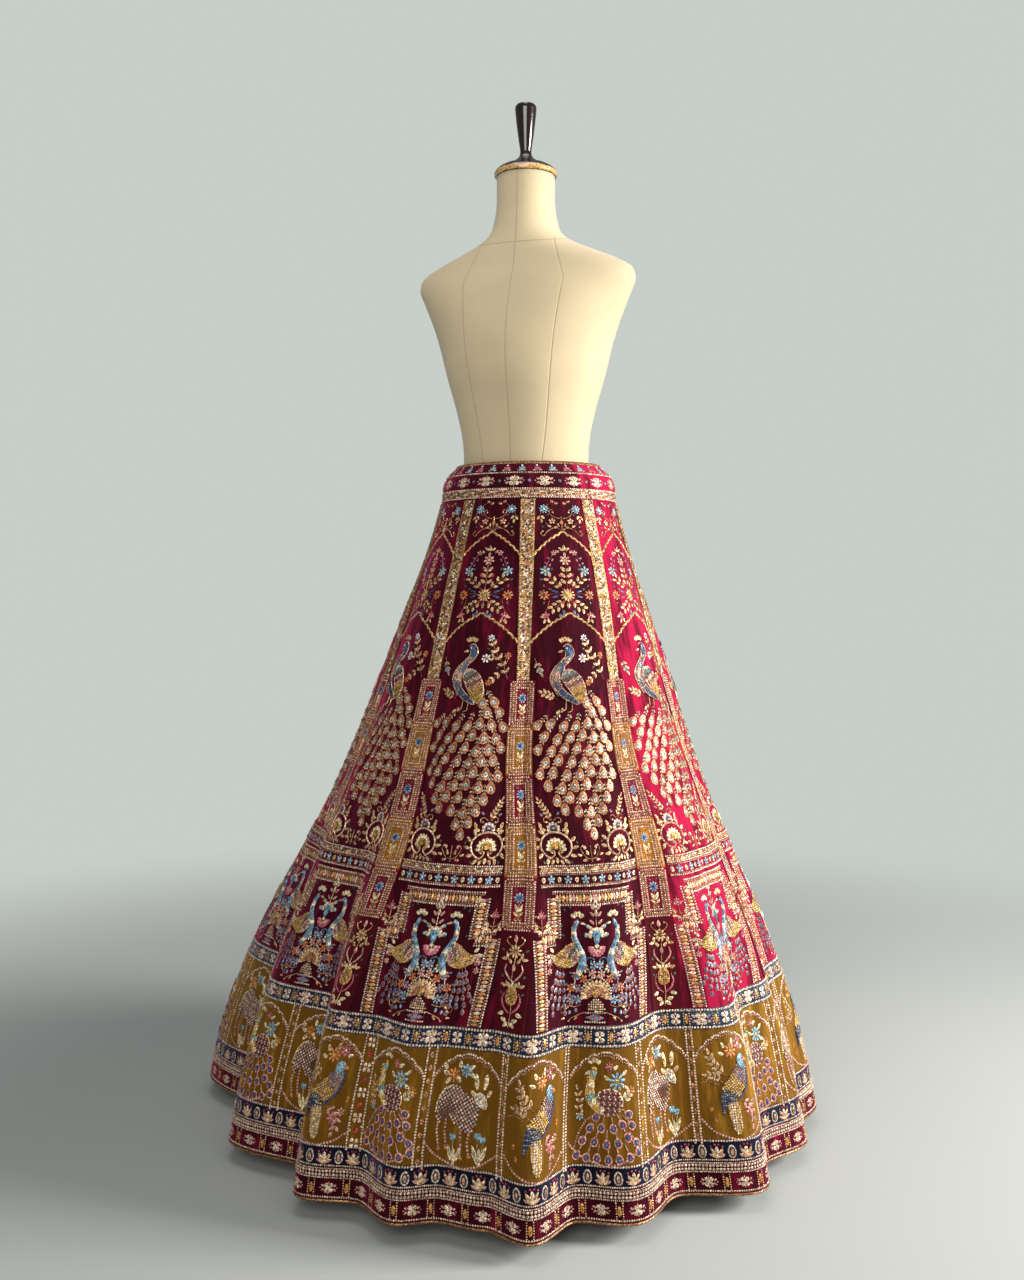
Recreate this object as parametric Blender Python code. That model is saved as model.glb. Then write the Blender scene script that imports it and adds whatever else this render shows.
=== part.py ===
"""Lehenga skirt on a limbless dress form.

Ten flared velvet panels hang from a waistband and end in four sewn borders and a piping.
The skirt's front faces -Y. Metres, +Z up, origin at the centre of the stand's underside.
"""

import math

import bmesh
import bpy
import numpy as np

# Walls, seams and laid-on pieces
CLOTH = 0.002
APPLIQUE = 0.0014
GAP = 0.0003

# Panels and the pieces laid over their seams
PANELS = 10
SEAM_ANGLE = 18.0
STRIP_HALF = 0.0100
TILE_HALF_TOP = 0.019
TILE_HALF_LOW = 0.0235
PANEL_INNER_COLUMNS = 7
FRONT_EASE = 0.12

# Heights of the seams, from the waist down
WAIST_TOP = 1.078
WAIST_SEAM = 1.015
STRIP_END = 0.737
MIDDLE_TOP = 0.480
MIDDLE_LOW = 0.451
BLUE_TOP = 0.274
MUSTARD_TOP = 0.246
NAVY_TOP = 0.102
HEM_TOP = 0.0725
PIPING_TOP = 0.0305
HEM = 0.0265

# Columns of the closed rings
WAIST_COLUMNS = 40
BORDER_COLUMNS = 100
PIPING_COLUMNS = 80
FINE_COLUMNS = 1440

# Height, half width, half depth and sideways shift of the skirt's level sections
SECTIONS = (
    (1.078, 0.1165, 0.1020, 0.004),
    (1.058, 0.1360, 0.1230, 0.005),
    (1.015, 0.1440, 0.1390, 0.005),
    (0.930, 0.1680, 0.1650, 0.004),
    (0.868, 0.1900, 0.1850, 0.002),
    (0.792, 0.2160, 0.2120, 0.000),
    (0.708, 0.2450, 0.2400, -0.003),
    (0.640, 0.2690, 0.2640, -0.006),
    (0.557, 0.3000, 0.2950, -0.008),
    (0.482, 0.3290, 0.3240, -0.009),
    (0.425, 0.3510, 0.3460, -0.010),
    (0.332, 0.3880, 0.3830, -0.011),
    (0.268, 0.4090, 0.4060, -0.012),
    (0.200, 0.4290, 0.4270, -0.012),
    (0.117, 0.4500, 0.4490, -0.013),
    (0.026, 0.4670, 0.4650, -0.013),
)

# Angle from the front, stand out at the hem, sideways lean there, and the height where the fold dies out
FOLDS = (
    (-84, 0.084, -0.012, 0.66),
    (-63, -0.046, 0.000, 0.62),
    (-47, 0.012, -0.022, 0.70),
    (-31, -0.050, 0.000, 0.68),
    (-20, 0.014, -0.016, 0.66),
    (-12, -0.018, 0.000, 0.42),
    (-3, 0.014, 0.000, 0.46),
    (4, -0.010, 0.000, 0.46),
    (12, 0.002, 0.000, 0.60),
    (19, 0.040, 0.003, 0.62),
    (27, -0.018, 0.004, 0.60),
    (37, 0.008, 0.000, 0.50),
    (49, -0.040, 0.000, 0.66),
    (61, 0.022, 0.012, 0.66),
    (73, -0.020, 0.000, 0.52),
    (84, 0.010, 0.006, 0.50),
    (92, -0.010, 0.000, 0.44),
    (103, 0.022, 0.008, 0.58),
    (117, -0.026, 0.000, 0.60),
    (131, 0.026, 0.010, 0.62),
    (145, -0.024, 0.000, 0.50),
    (158, 0.020, 0.000, 0.56),
    (171, -0.030, 0.000, 0.64),
    (185, 0.030, -0.010, 0.64),
    (199, -0.022, 0.000, 0.48),
    (211, 0.016, 0.000, 0.46),
    (223, -0.030, 0.000, 0.60),
    (238, 0.034, -0.010, 0.64),
    (253, -0.012, 0.000, 0.58),
)

# Height, half width and half depth of the form's level sections, bottom to neck
FORM_SECTIONS = (
    (0.8000, 0.132, 0.104),
    (0.8120, 0.142, 0.112),
    (0.8500, 0.150, 0.117),
    (0.9000, 0.148, 0.116),
    (0.9500, 0.140, 0.108),
    (1.0000, 0.127, 0.098),
    (1.0400, 0.115, 0.089),
    (1.0780, 0.106, 0.084),
    (1.1200, 0.107, 0.086),
    (1.1700, 0.117, 0.095),
    (1.2300, 0.134, 0.108),
    (1.2800, 0.147, 0.110),
    (1.3200, 0.161, 0.102),
    (1.3550, 0.176, 0.090),
    (1.3820, 0.186, 0.078),
    (1.4000, 0.180, 0.069),
    (1.4160, 0.153, 0.064),
    (1.4320, 0.115, 0.061),
    (1.4480, 0.081, 0.057),
    (1.4640, 0.061, 0.054),
    (1.4860, 0.053, 0.051),
    (1.5600, 0.048, 0.048),
)
FORM_COLUMNS = 28

# Radius and height of the turned pieces' profiles, from the axis at the foot to the axis at the top
CAP_PROFILE = ((0.0, 1.5603), (0.052, 1.5603), (0.0525, 1.567), (0.046, 1.575), (0.030, 1.5825), (0.0, 1.584))
FINIAL_PROFILE = (
    (0.0, 1.5843),
    (0.0220, 1.5843),
    (0.0170, 1.5890),
    (0.0110, 1.5950),
    (0.0090, 1.6020),
    (0.0110, 1.6150),
    (0.0140, 1.6380),
    (0.0170, 1.6640),
    (0.0180, 1.6740),
    (0.0150, 1.6800),
    (0.0, 1.6840),
)
POLE_PROFILE = ((0.0, 0.0123), (0.030, 0.0123), (0.030, 0.020), (0.014, 0.030), (0.014, 0.7997), (0.0, 0.7997))
BASE_PROFILE = ((0.0, 0.0), (0.200, 0.0), (0.205, 0.004), (0.205, 0.008), (0.200, 0.012), (0.0, 0.012))
TURNED_COLUMNS = 28

COLOURS = {
    "maroon_velvet": ((0.145, 0.006, 0.022), 0.75, 0.0),
    "mustard_velvet": ((0.255, 0.110, 0.012), 0.75, 0.0),
    "blue_velvet": ((0.014, 0.040, 0.085), 0.75, 0.0),
    "navy_velvet": ((0.010, 0.016, 0.040), 0.75, 0.0),
    "crimson_velvet": ((0.330, 0.012, 0.035), 0.75, 0.0),
    "gold_work": ((0.580, 0.370, 0.190), 0.45, 0.6),
    "calico": ((0.640, 0.530, 0.340), 0.85, 0.0),
    "dark_wood": ((0.028, 0.008, 0.007), 0.25, 0.0),
    "steel": ((0.050, 0.050, 0.052), 0.40, 0.9),
}


def clear_scene():
    for obj in list(bpy.data.objects):
        bpy.data.objects.remove(obj)


def material(name):
    """The named finish, made once."""
    made = bpy.data.materials.get(name)
    if made:
        return made
    colour, roughness, metallic = COLOURS[name]
    made = bpy.data.materials.new(name)
    made.use_nodes = True
    shader = made.node_tree.nodes["Principled BSDF"]
    shader.inputs["Base Color"].default_value = (*colour, 1.0)
    shader.inputs["Roughness"].default_value = roughness
    shader.inputs["Metallic"].default_value = metallic
    return made


def smooth(x):
    """0 below 0, 1 above 1, and an S curve between."""
    x = np.clip(x, 0.0, 1.0)
    return x * x * (3.0 - 2.0 * x)


def section(z, column):
    """A column of SECTIONS at height z, along a smooth curve through the rows."""
    rows = np.array(SECTIONS[::-1])
    heights, values = rows[:, 0], rows[:, column]
    slopes = np.gradient(values, heights)
    i = int(np.clip(np.searchsorted(heights, z) - 1, 0, len(heights) - 2))
    step = heights[i + 1] - heights[i]
    t = (z - heights[i]) / step
    ahead = t * t * (3.0 - 2.0 * t)
    start = t * (1.0 - t) ** 2 * step * slopes[i]
    end = t * t * (t - 1.0) * step * slopes[i + 1]
    return values[i] + (values[i + 1] - values[i]) * ahead + start + end


def folds(angles, z):
    """How far the folds stand out and lean sideways at these angles, in metres, at height z."""
    rows = np.array(FOLDS)
    rows = np.vstack([rows, rows[0] + (360.0, 0.0, 0.0, 0.0)])
    grown = smooth((rows[:, 3] - z) / (rows[:, 3] - HEM)) ** 0.8
    turned = (angles - rows[0, 0]) % 360.0 + rows[0, 0]
    i = np.clip(np.searchsorted(rows[:, 0], turned, side="right") - 1, 0, len(rows) - 2)
    t = smooth((turned - rows[i, 0]) / (rows[i + 1, 0] - rows[i, 0]))
    out, lean = rows[:, 1] * grown, rows[:, 2] * grown
    return out[i] + (out[i + 1] - out[i]) * t, lean[i] + (lean[i + 1] - lean[i]) * t


def panel_wave(angles, z):
    """Each panel bulges between its seams, most above the knee and not at all at the waist or hem."""
    depth = 0.011 * smooth((0.98 - z) / 0.28) * smooth((z - 0.05) / 0.45)
    return depth * (np.abs(np.sin(np.radians(angles - SEAM_ANGLE) * PANELS / 2.0)) - 0.64)


def ring(z):
    """The cloth's middle line at height z as fine points, one more than FINE_COLUMNS, from the front seam."""
    start = SEAM_ANGLE - 1.6 * smooth((z - 0.45) / 0.20) - 3.5 * smooth((0.60 - z) / 0.50)
    angles = start + np.linspace(0.0, 360.0, FINE_COLUMNS + 1)
    turn = np.radians(angles)
    out, lean = folds(angles, z)
    out = out + panel_wave(angles, z)
    x = (section(z, 1) + out) * np.sin(turn) + lean * np.cos(turn) + section(z, 3)
    y = -(section(z, 2) + out) * np.cos(turn) + lean * np.sin(turn)
    return np.column_stack([x, y])


def eased(shares, z):
    """Shares of the way round, drawn apart at the front near the waist, where the front panels are wider."""
    ease = FRONT_EASE * smooth((z - 0.62) / 0.36)
    shares = np.asarray(shares)
    return shares + ease * np.sin(2.0 * math.pi * shares) / (2.0 * math.pi)


def along(z, shares):
    """Points of the middle line at height z, level outward directions, and the line's length.

    A share is a part of the whole way round, measured along the cloth from the front seam.
    """
    line = ring(z)
    steps = np.linalg.norm(np.diff(line, axis=0), axis=1)
    reach = np.concatenate([[0.0], np.cumsum(steps)])
    whole = reach[-1]
    at = (eased(shares, z) % 1.0) * whole
    points = np.column_stack([np.interp(at, reach, line[:, 0]), np.interp(at, reach, line[:, 1])])
    near = 0.004
    ahead, behind = (at + near) % whole, (at - near) % whole
    tangent = np.column_stack(
        [np.interp(ahead, reach, line[:, k]) - np.interp(behind, reach, line[:, k]) for k in (0, 1)]
    )
    tangent /= np.linalg.norm(tangent, axis=1)[:, None]
    outward = np.column_stack([tangent[:, 1], -tangent[:, 0]])
    return points, outward, whole


def wall(name, levels, closed, finish):
    """A wall of cloth: levels is a list of (height, inner points, outer points), top to bottom."""
    rows, columns = len(levels), len(levels[0][1])
    shape = bmesh.new()
    grids = []
    for side in (1, 2):
        grids.append([[shape.verts.new((*point, level[0])) for point in level[side]] for level in levels])
    inner, outer = grids
    spans = [(c, (c + 1) % columns) for c in range(columns if closed else columns - 1)]
    for r in range(rows - 1):
        for a, b in spans:
            shape.faces.new((outer[r][a], outer[r + 1][a], outer[r + 1][b], outer[r][b]))
            shape.faces.new((inner[r][b], inner[r + 1][b], inner[r + 1][a], inner[r][a]))
    for a, b in spans:
        shape.faces.new((outer[0][a], outer[0][b], inner[0][b], inner[0][a]))
        shape.faces.new((inner[-1][a], inner[-1][b], outer[-1][b], outer[-1][a]))
    if not closed:
        for r in range(rows - 1):
            shape.faces.new((outer[r][0], inner[r][0], inner[r + 1][0], outer[r + 1][0]))
            shape.faces.new((inner[r][-1], outer[r][-1], outer[r + 1][-1], inner[r + 1][-1]))
    bmesh.ops.triangulate(shape, faces=shape.faces[:])
    bmesh.ops.recalc_face_normals(shape, faces=shape.faces[:])
    return finished(name, shape, finish)


def finished(name, shape, finish):
    mesh = bpy.data.meshes.new(name)
    shape.to_mesh(mesh)
    shape.free()
    mesh.shade_smooth()
    mesh.set_sharp_from_angle(angle=math.radians(40.0))
    mesh.materials.append(material(finish))
    obj = bpy.data.objects.new(name, mesh)
    bpy.context.scene.collection.objects.link(obj)
    return obj


def band(name, heights, columns, finish, thickness=CLOTH):
    """A closed border between seams, its rows at these heights."""
    shares = np.arange(columns) / columns
    levels = []
    for z in heights:
        points, outward, _ = along(z, shares)
        levels.append((z, points - outward * thickness / 2, points + outward * thickness / 2))
    wall(name, levels, True, finish)


def tile_half(z):
    """Half the width of the tile column, which widens downwards."""
    share = smooth((STRIP_END - z) / (STRIP_END - MIDDLE_LOW))
    return TILE_HALF_TOP + (TILE_HALF_LOW - TILE_HALF_TOP) * share


def panel_shares(seam, z):
    """The shares of a panel's columns at height z: seam, strip edge, tile edge, even columns, and back."""
    whole = along(z, [0.0])[2]
    strip, tile = STRIP_HALF / whole, tile_half(z) / whole
    inner = np.linspace(tile, 1.0 / PANELS - tile, PANEL_INNER_COLUMNS + 1)
    columns = np.concatenate([[0.0, strip], inner, [1.0 / PANELS - strip, 1.0 / PANELS]])
    return seam / PANELS + columns


def drawn_in(points, amount):
    """The points with both end ones moved inwards along the cloth."""
    points = points.copy()
    for end, beside in ((0, 1), (-1, -2)):
        step = points[beside] - points[end]
        points[end] += step / np.linalg.norm(step) * amount
    return points


def panel(seam, heights):
    """A kali from one seam to the next, held off its neighbours by the seam gap."""
    levels = []
    for z in heights:
        points, outward, _ = along(z, panel_shares(seam, z))
        inner, outer = points - outward * CLOTH / 2, points + outward * CLOTH / 2
        levels.append((z, drawn_in(inner, GAP / 2), drawn_in(outer, GAP / 2)))
    wall(f"kali_{seam + 1:02d}", levels, False, "maroon_velvet")


def laid_on(name, heights, shares_at, finish, ends_in=0.0):
    """An embroidered length on the cloth: the panel's own points, moved out."""
    levels = []
    for z in heights:
        points, outward, _ = along(z, shares_at(z))
        lifted = CLOTH / 2 + GAP
        inner, outer = points + outward * lifted, points + outward * (lifted + APPLIQUE)
        levels.append((z, drawn_in(inner, ends_in), drawn_in(outer, ends_in)))
    wall(name, levels, False, finish)


def seam_shares(seam, columns):
    """A function giving the shares across a seam, from the panel before it to the panel after it."""

    def at(z):
        own = panel_shares(0, z)[1 : columns + 1]
        return seam / PANELS + np.concatenate([-own[::-1], [0.0], own])

    return at


def inner_shares(seam):
    """A function giving the shares of a panel between its two tile columns."""
    return lambda z: panel_shares(seam, z)[2:-2]


def turned(name, profile, finish):
    """A solid of revolution about the Z axis from (radius, height) points."""
    shape = bmesh.new()
    angles = np.linspace(0.0, 2.0 * math.pi, TURNED_COLUMNS, endpoint=False)
    foot = shape.verts.new((0.0, 0.0, profile[0][1]))
    top = shape.verts.new((0.0, 0.0, profile[-1][1]))
    rings = [[shape.verts.new((r * math.cos(a), r * math.sin(a), z)) for a in angles] for r, z in profile[1:-1]]
    for k in range(TURNED_COLUMNS):
        after = (k + 1) % TURNED_COLUMNS
        shape.faces.new((foot, rings[0][after], rings[0][k]))
        shape.faces.new((top, rings[-1][k], rings[-1][after]))
        for low, high in zip(rings, rings[1:]):
            shape.faces.new((low[k], low[after], high[after], high[k]))
    bmesh.ops.triangulate(shape, faces=shape.faces[:])
    bmesh.ops.recalc_face_normals(shape, faces=shape.faces[:])
    return finished(name, shape, finish)


def torso():
    """The padded form: rounded level sections from below the hips to the neck's flat top."""
    shape = bmesh.new()
    angles = np.linspace(0.0, 2.0 * math.pi, FORM_COLUMNS, endpoint=False)
    rings = []
    for z, half_width, half_depth in FORM_SECTIONS:
        rings.append([shape.verts.new((half_width * math.cos(a), half_depth * math.sin(a), z)) for a in angles])
    for low, high in zip(rings, rings[1:]):
        for k in range(FORM_COLUMNS):
            after = (k + 1) % FORM_COLUMNS
            shape.faces.new((low[k], low[after], high[after], high[k]))
    shape.faces.new(rings[0][::-1])
    shape.faces.new(rings[-1])
    bmesh.ops.triangulate(shape, faces=shape.faces[:])
    bmesh.ops.recalc_face_normals(shape, faces=shape.faces[:])
    finished("form_torso", shape, "calico")


def below(z):
    """Where the piece sewn on under a seam at height z begins."""
    return z - GAP


def main():
    clear_scene()
    band("waistband", (WAIST_TOP, 1.058, WAIST_SEAM), WAIST_COLUMNS, "maroon_velvet")
    panel_heights = (below(WAIST_SEAM), 0.87, STRIP_END, 0.61, MIDDLE_TOP, MIDDLE_LOW, BLUE_TOP)
    for seam in range(PANELS):
        number = f"{seam + 1:02d}"
        panel(seam, panel_heights)
        laid_on(f"seam_strip_{number}", panel_heights[:3], seam_shares(seam, 1), "gold_work")
        tile_heights = (below(STRIP_END), *panel_heights[3:])
        laid_on(f"tile_column_{number}", tile_heights, seam_shares(seam, 2), "crimson_velvet")
        laid_on(f"middle_border_{number}", (MIDDLE_TOP, MIDDLE_LOW), inner_shares(seam), "maroon_velvet", GAP)
    band("blue_border", (below(BLUE_TOP), MUSTARD_TOP), BORDER_COLUMNS, "blue_velvet")
    band("mustard_border", (below(MUSTARD_TOP), 0.170, NAVY_TOP), BORDER_COLUMNS, "mustard_velvet")
    band("navy_band", (below(NAVY_TOP), HEM_TOP), BORDER_COLUMNS, "navy_velvet")
    band("hem_band", (below(HEM_TOP), PIPING_TOP), BORDER_COLUMNS, "maroon_velvet")
    band("hem_piping", (below(PIPING_TOP), HEM), PIPING_COLUMNS, "gold_work", 0.0035)
    torso()
    turned("form_neck_cap", CAP_PROFILE, "dark_wood")
    turned("form_finial", FINIAL_PROFILE, "dark_wood")
    turned("form_pole", POLE_PROFILE, "steel")
    turned("form_base", BASE_PROFILE, "steel")


main()
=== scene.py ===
"""Lehenga skirt on a dress form: the looks.

Every cloth piece is a thin wall on one surface of the whole skirt, and all of the embroidery is worked out
flat, in metres across and up the cloth, and then laid on that surface.
"""

import math

import bpy
import numpy as np
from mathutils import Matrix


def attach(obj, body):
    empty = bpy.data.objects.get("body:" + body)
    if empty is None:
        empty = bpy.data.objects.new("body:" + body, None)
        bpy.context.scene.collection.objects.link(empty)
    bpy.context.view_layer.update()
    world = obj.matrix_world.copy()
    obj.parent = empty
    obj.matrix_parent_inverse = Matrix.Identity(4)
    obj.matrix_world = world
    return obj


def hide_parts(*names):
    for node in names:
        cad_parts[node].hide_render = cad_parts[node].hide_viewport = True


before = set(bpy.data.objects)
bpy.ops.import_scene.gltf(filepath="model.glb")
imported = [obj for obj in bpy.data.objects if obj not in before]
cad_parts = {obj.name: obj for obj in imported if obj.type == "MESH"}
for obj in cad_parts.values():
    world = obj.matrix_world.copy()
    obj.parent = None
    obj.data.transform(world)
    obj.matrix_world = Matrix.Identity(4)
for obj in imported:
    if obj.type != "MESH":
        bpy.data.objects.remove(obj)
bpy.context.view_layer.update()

bl_info = {
    "name": "Lehenga skirt on a dress form",
    "version": (1, 0, 0),
    "blender": (4, 5, 0),
    "location": "3D View > Sidebar > Lehenga",
    "description": "Makes the velvet skirt, its embroidery and the dress form round the packed model",
    "category": "Add Mesh",
}

# ---------------------------------------------------------------- sizes shared with the solids

WALL = 0.0018
PANELS = 10
SEAM_ANGLE = 18.0
TILES = 27
STRIP_HALF = 0.01
TILE_HALF_TOP = 0.019
TILE_HALF_LOW = 0.0235
FRONT_EASE = 0.12
WAIST_TOP = 1.078
WAIST_SEAM = 1.015
STRIP_END = 0.737
MIDDLE_TOP = 0.48
MIDDLE_LOW = 0.451
BLUE_TOP = 0.274
MUSTARD_TOP = 0.246
NAVY_TOP = 0.102
HEM_TOP = 0.0725
PIPING_TOP = 0.0305
HEM = 0.0265
SEAM_GAP = 0.0003
# Pieces laid on the panels: their wall, the gap under it, and how much higher their stitches lie
LAID_WALL = 0.0012
LAID_GAP = 0.0002
LAID_RISE = 0.0016
STITCH_GAP = 0.0003
# Steps across the nap from one piece to the next, so that no two show the same one
PANEL_STEP = 0.47
STRIP_STEP = 0.31
# The camera: its turn from the front in degrees, how far it stands to the left, its lens and its shift
CAMERA_TURN = 18.0
CAMERA_ASIDE = 0.023
CAMERA_LENS = 37.125
CAMERA_SHIFT = -0.0375
# The level direction of the right-hand side whose velvet is painted lighter: a painted lit side where the
# key light falls
PAINTED_LIT_SIDE = (0.951, 0.309, 0.0)
VINE_SHADE = 0.35
RING_STEPS = 1440
TILE_PITCH = 0.0682

# Height, half width, half depth and sideways shift of the skirt's level sections
SECTIONS = (
    (1.078, 0.1165, 0.102, 0.004),
    (1.058, 0.136, 0.123, 0.005),
    (1.015, 0.144, 0.139, 0.005),
    (0.93, 0.168, 0.165, 0.004),
    (0.868, 0.19, 0.185, 0.002),
    (0.792, 0.216, 0.212, 0.0),
    (0.708, 0.245, 0.24, -0.003),
    (0.64, 0.269, 0.264, -0.006),
    (0.557, 0.3, 0.295, -0.008),
    (0.482, 0.329, 0.324, -0.009),
    (0.425, 0.351, 0.346, -0.01),
    (0.332, 0.388, 0.383, -0.011),
    (0.268, 0.409, 0.406, -0.012),
    (0.2, 0.429, 0.427, -0.012),
    (0.117, 0.45, 0.449, -0.013),
    (0.026, 0.467, 0.465, -0.013),
)

# Angle from the front, stand out at the hem, sideways lean there, and the height where the fold dies out
FOLDS = (
    (-84, 0.084, -0.012, 0.66),
    (-63, -0.046, 0.0, 0.62),
    (-47, 0.012, -0.022, 0.7),
    (-31, -0.05, 0.0, 0.68),
    (-20, 0.014, -0.016, 0.66),
    (-12, -0.018, 0.0, 0.42),
    (-3, 0.014, 0.0, 0.46),
    (4, -0.01, 0.0, 0.46),
    (12, 0.002, 0.0, 0.6),
    (19, 0.04, 0.003, 0.62),
    (27, -0.018, 0.004, 0.6),
    (37, 0.008, 0.0, 0.5),
    (49, -0.04, 0.0, 0.66),
    (61, 0.022, 0.012, 0.66),
    (73, -0.02, 0.0, 0.52),
    (84, 0.01, 0.006, 0.5),
    (92, -0.01, 0.0, 0.44),
    (103, 0.022, 0.008, 0.58),
    (117, -0.026, 0.0, 0.6),
    (131, 0.026, 0.01, 0.62),
    (145, -0.024, 0.0, 0.5),
    (158, 0.02, 0.0, 0.56),
    (171, -0.03, 0.0, 0.64),
    (185, 0.03, -0.01, 0.64),
    (199, -0.022, 0.0, 0.48),
    (211, 0.016, 0.0, 0.46),
    (223, -0.03, 0.0, 0.6),
    (238, 0.034, -0.01, 0.64),
    (253, -0.012, 0.0, 0.58),
)

# Soft creases besides the folds: angle, depth (a ridge is negative), half width in degrees, top and lower
# end
CREASES = (
    (-13, 0.005, 3.0, 0.76, 0.4),
    (-27, 0.004, 3.5, 0.66, 0.34),
    (6, -0.003, 4.0, 0.72, 0.36),
    (18, 0.0045, 1.6, 0.82, 0.3),
    (27, 0.0022, 2.5, 0.9, 0.62),
    (38, 0.0045, 2.6, 0.7, 0.38),
    (44, -0.0028, 3.0, 0.66, 0.36),
    (-40, 0.0048, 2.6, 0.72, 0.36),
    (66, 0.004, 3.4, 0.74, 0.4),
    (95, 0.0044, 3.0, 0.7, 0.34),
    (122, -0.003, 4.0, 0.76, 0.44),
    (139, 0.005, 3.0, 0.68, 0.38),
    (176, 0.004, 3.2, 0.8, 0.42),
    (205, 0.0046, 2.8, 0.72, 0.36),
    (229, -0.003, 3.6, 0.7, 0.4),
    (248, 0.0048, 3.0, 0.76, 0.38),
    (265, 0.0036, 3.2, 0.66, 0.36),
)

# Height, half width and half depth of the form's level sections, bottom to neck
FORM_SECTIONS = (
    (0.8, 0.132, 0.104),
    (0.812, 0.142, 0.112),
    (0.85, 0.15, 0.117),
    (0.9, 0.148, 0.116),
    (0.95, 0.14, 0.108),
    (1.0, 0.127, 0.098),
    (1.04, 0.115, 0.089),
    (1.078, 0.106, 0.084),
    (1.12, 0.107, 0.086),
    (1.17, 0.117, 0.095),
    (1.23, 0.134, 0.108),
    (1.28, 0.147, 0.11),
    (1.32, 0.161, 0.102),
    (1.355, 0.176, 0.09),
    (1.382, 0.186, 0.078),
    (1.4, 0.18, 0.069),
    (1.416, 0.153, 0.064),
    (1.432, 0.115, 0.061),
    (1.448, 0.081, 0.057),
    (1.464, 0.061, 0.054),
    (1.486, 0.053, 0.051),
    (1.56, 0.048, 0.048),
)

# Radius and height of the turned pieces' profiles, foot to top
TURNED = {
    "form_neck_cap": ((0.0, 1.5603), (0.0505, 1.5603), (0.0522, 1.5625), (0.0524, 1.567), (0.05, 1.571),
                      (0.045, 1.5752), (0.037, 1.5795), (0.028, 1.5825), (0.0, 1.5838)),
    "form_finial": ((0.0, 1.5843), (0.0218, 1.5843), (0.0216, 1.586), (0.017, 1.589), (0.0125, 1.593),
                    (0.01, 1.5975), (0.0092, 1.603), (0.01, 1.61), (0.0118, 1.622), (0.014, 1.638),
                    (0.0157, 1.652), (0.017, 1.664), (0.0179, 1.674), (0.0174, 1.6785), (0.015, 1.6815),
                    (0.009, 1.6833), (0.0, 1.6838)),
    "form_pole": ((0.0, 0.0123), (0.029, 0.0123), (0.03, 0.0135), (0.03, 0.019), (0.026, 0.0215),
                  (0.017, 0.026), (0.014, 0.031), (0.014, 0.7997), (0.0, 0.7997)),
    "form_base": ((0.0, 0.0), (0.199, 0.0), (0.2035, 0.0015), (0.205, 0.004), (0.205, 0.008),
                  (0.2035, 0.0105),
                  (0.199, 0.012), (0.0, 0.012)),
}

# Thread, bead and sequin colours: red, green, blue and how metallic
THREADS = {
    "gold": (0.5, 0.26, 0.07, 0.55),
    "rose_gold": (0.42, 0.17, 0.1, 0.4),
    "pale_gold": (0.72, 0.46, 0.22, 0.35),
    "umber": (0.1, 0.035, 0.015, 0.3),
    "bronze": (0.23, 0.085, 0.035, 0.35),
    "bead": (0.82, 0.6, 0.44, 0.2),
    "cream": (0.8, 0.66, 0.38, 0.05),
    "white": (0.86, 0.8, 0.72, 0.05),
    "pink": (0.52, 0.1, 0.16, 0.0),
    "blush": (0.66, 0.32, 0.26, 0.05),
    "plum": (0.14, 0.01, 0.035, 0.0),
    "red": (0.5, 0.012, 0.02, 0.0),
    "orange": (0.66, 0.19, 0.025, 0.0),
    "yellow": (0.7, 0.42, 0.06, 0.1),
    "pale_blue": (0.22, 0.42, 0.52, 0.0),
    "turquoise": (0.09, 0.33, 0.38, 0.05),
    "blue": (0.025, 0.075, 0.24, 0.0),
    "slate": (0.1, 0.19, 0.28, 0.0),
    "ink": (0.008, 0.014, 0.045, 0.0),
    "green": (0.012, 0.075, 0.045, 0.0),
    "lilac": (0.24, 0.17, 0.26, 0.1),
}


def thread(name, share=1.0):
    """A named thread as red, green, blue and metal, darkened by the share."""
    r, g, b, metal = THREADS[name]
    return np.array([r * share, g * share, b * share, metal])


def dyed(colour):
    """A thread's name as its colour; a colour or an array of them as it is."""
    return thread(colour) if isinstance(colour, str) else colour


# ---------------------------------------------------------------- the skirt's surface


def smooth(x):
    """0 below 0, 1 above 1, and an S curve between."""
    x = np.clip(x, 0.0, 1.0)
    return x * x * (3.0 - 2.0 * x)


def curve_through(rows, column, z):
    """A column of a table at height z: a cubic between rows, its slopes taken from the rows beside them."""
    rows = np.array(sorted(rows))
    heights, values = rows[:, 0], rows[:, column]
    slopes = np.gradient(values, heights)
    i = np.clip(np.searchsorted(heights, z) - 1, 0, len(heights) - 2)
    step = heights[i + 1] - heights[i]
    t = (z - heights[i]) / step
    ahead = t * t * (3.0 - 2.0 * t)
    bends = t * (1.0 - t) ** 2 * step * slopes[i] + t * t * (t - 1.0) * step * slopes[i + 1]
    return values[i] + (values[i + 1] - values[i]) * ahead + bends


def folds(angles, z):
    """How far the folds stand out and lean sideways: an S curve from each row of FOLDS to the next."""
    rows = np.array(FOLDS)
    rows = np.vstack([rows, rows[0] + (360.0, 0.0, 0.0, 0.0)])
    grown = smooth((rows[:, 3] - z) / (rows[:, 3] - HEM)) ** 0.8
    turned = (angles - rows[0, 0]) % 360.0 + rows[0, 0]
    i = np.clip(np.searchsorted(rows[:, 0], turned, side="right") - 1, 0, len(rows) - 2)
    t = smooth((turned - rows[i, 0]) / (rows[i + 1, 0] - rows[i, 0]))
    out, lean = rows[:, 1] * grown, rows[:, 2] * grown
    return out[i] + (out[i + 1] - out[i]) * t, lean[i] + (lean[i + 1] - lean[i]) * t


def panel_wave(angles, z):
    """Each panel bulges between its seams, most above the knee and not at all at the waist or hem."""
    depth = 0.011 * smooth((0.98 - z) / 0.28) * smooth((z - 0.05) / 0.45)
    return depth * (np.abs(np.sin(np.radians(angles - SEAM_ANGLE) * PANELS / 2.0)) - 0.64)


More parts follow.
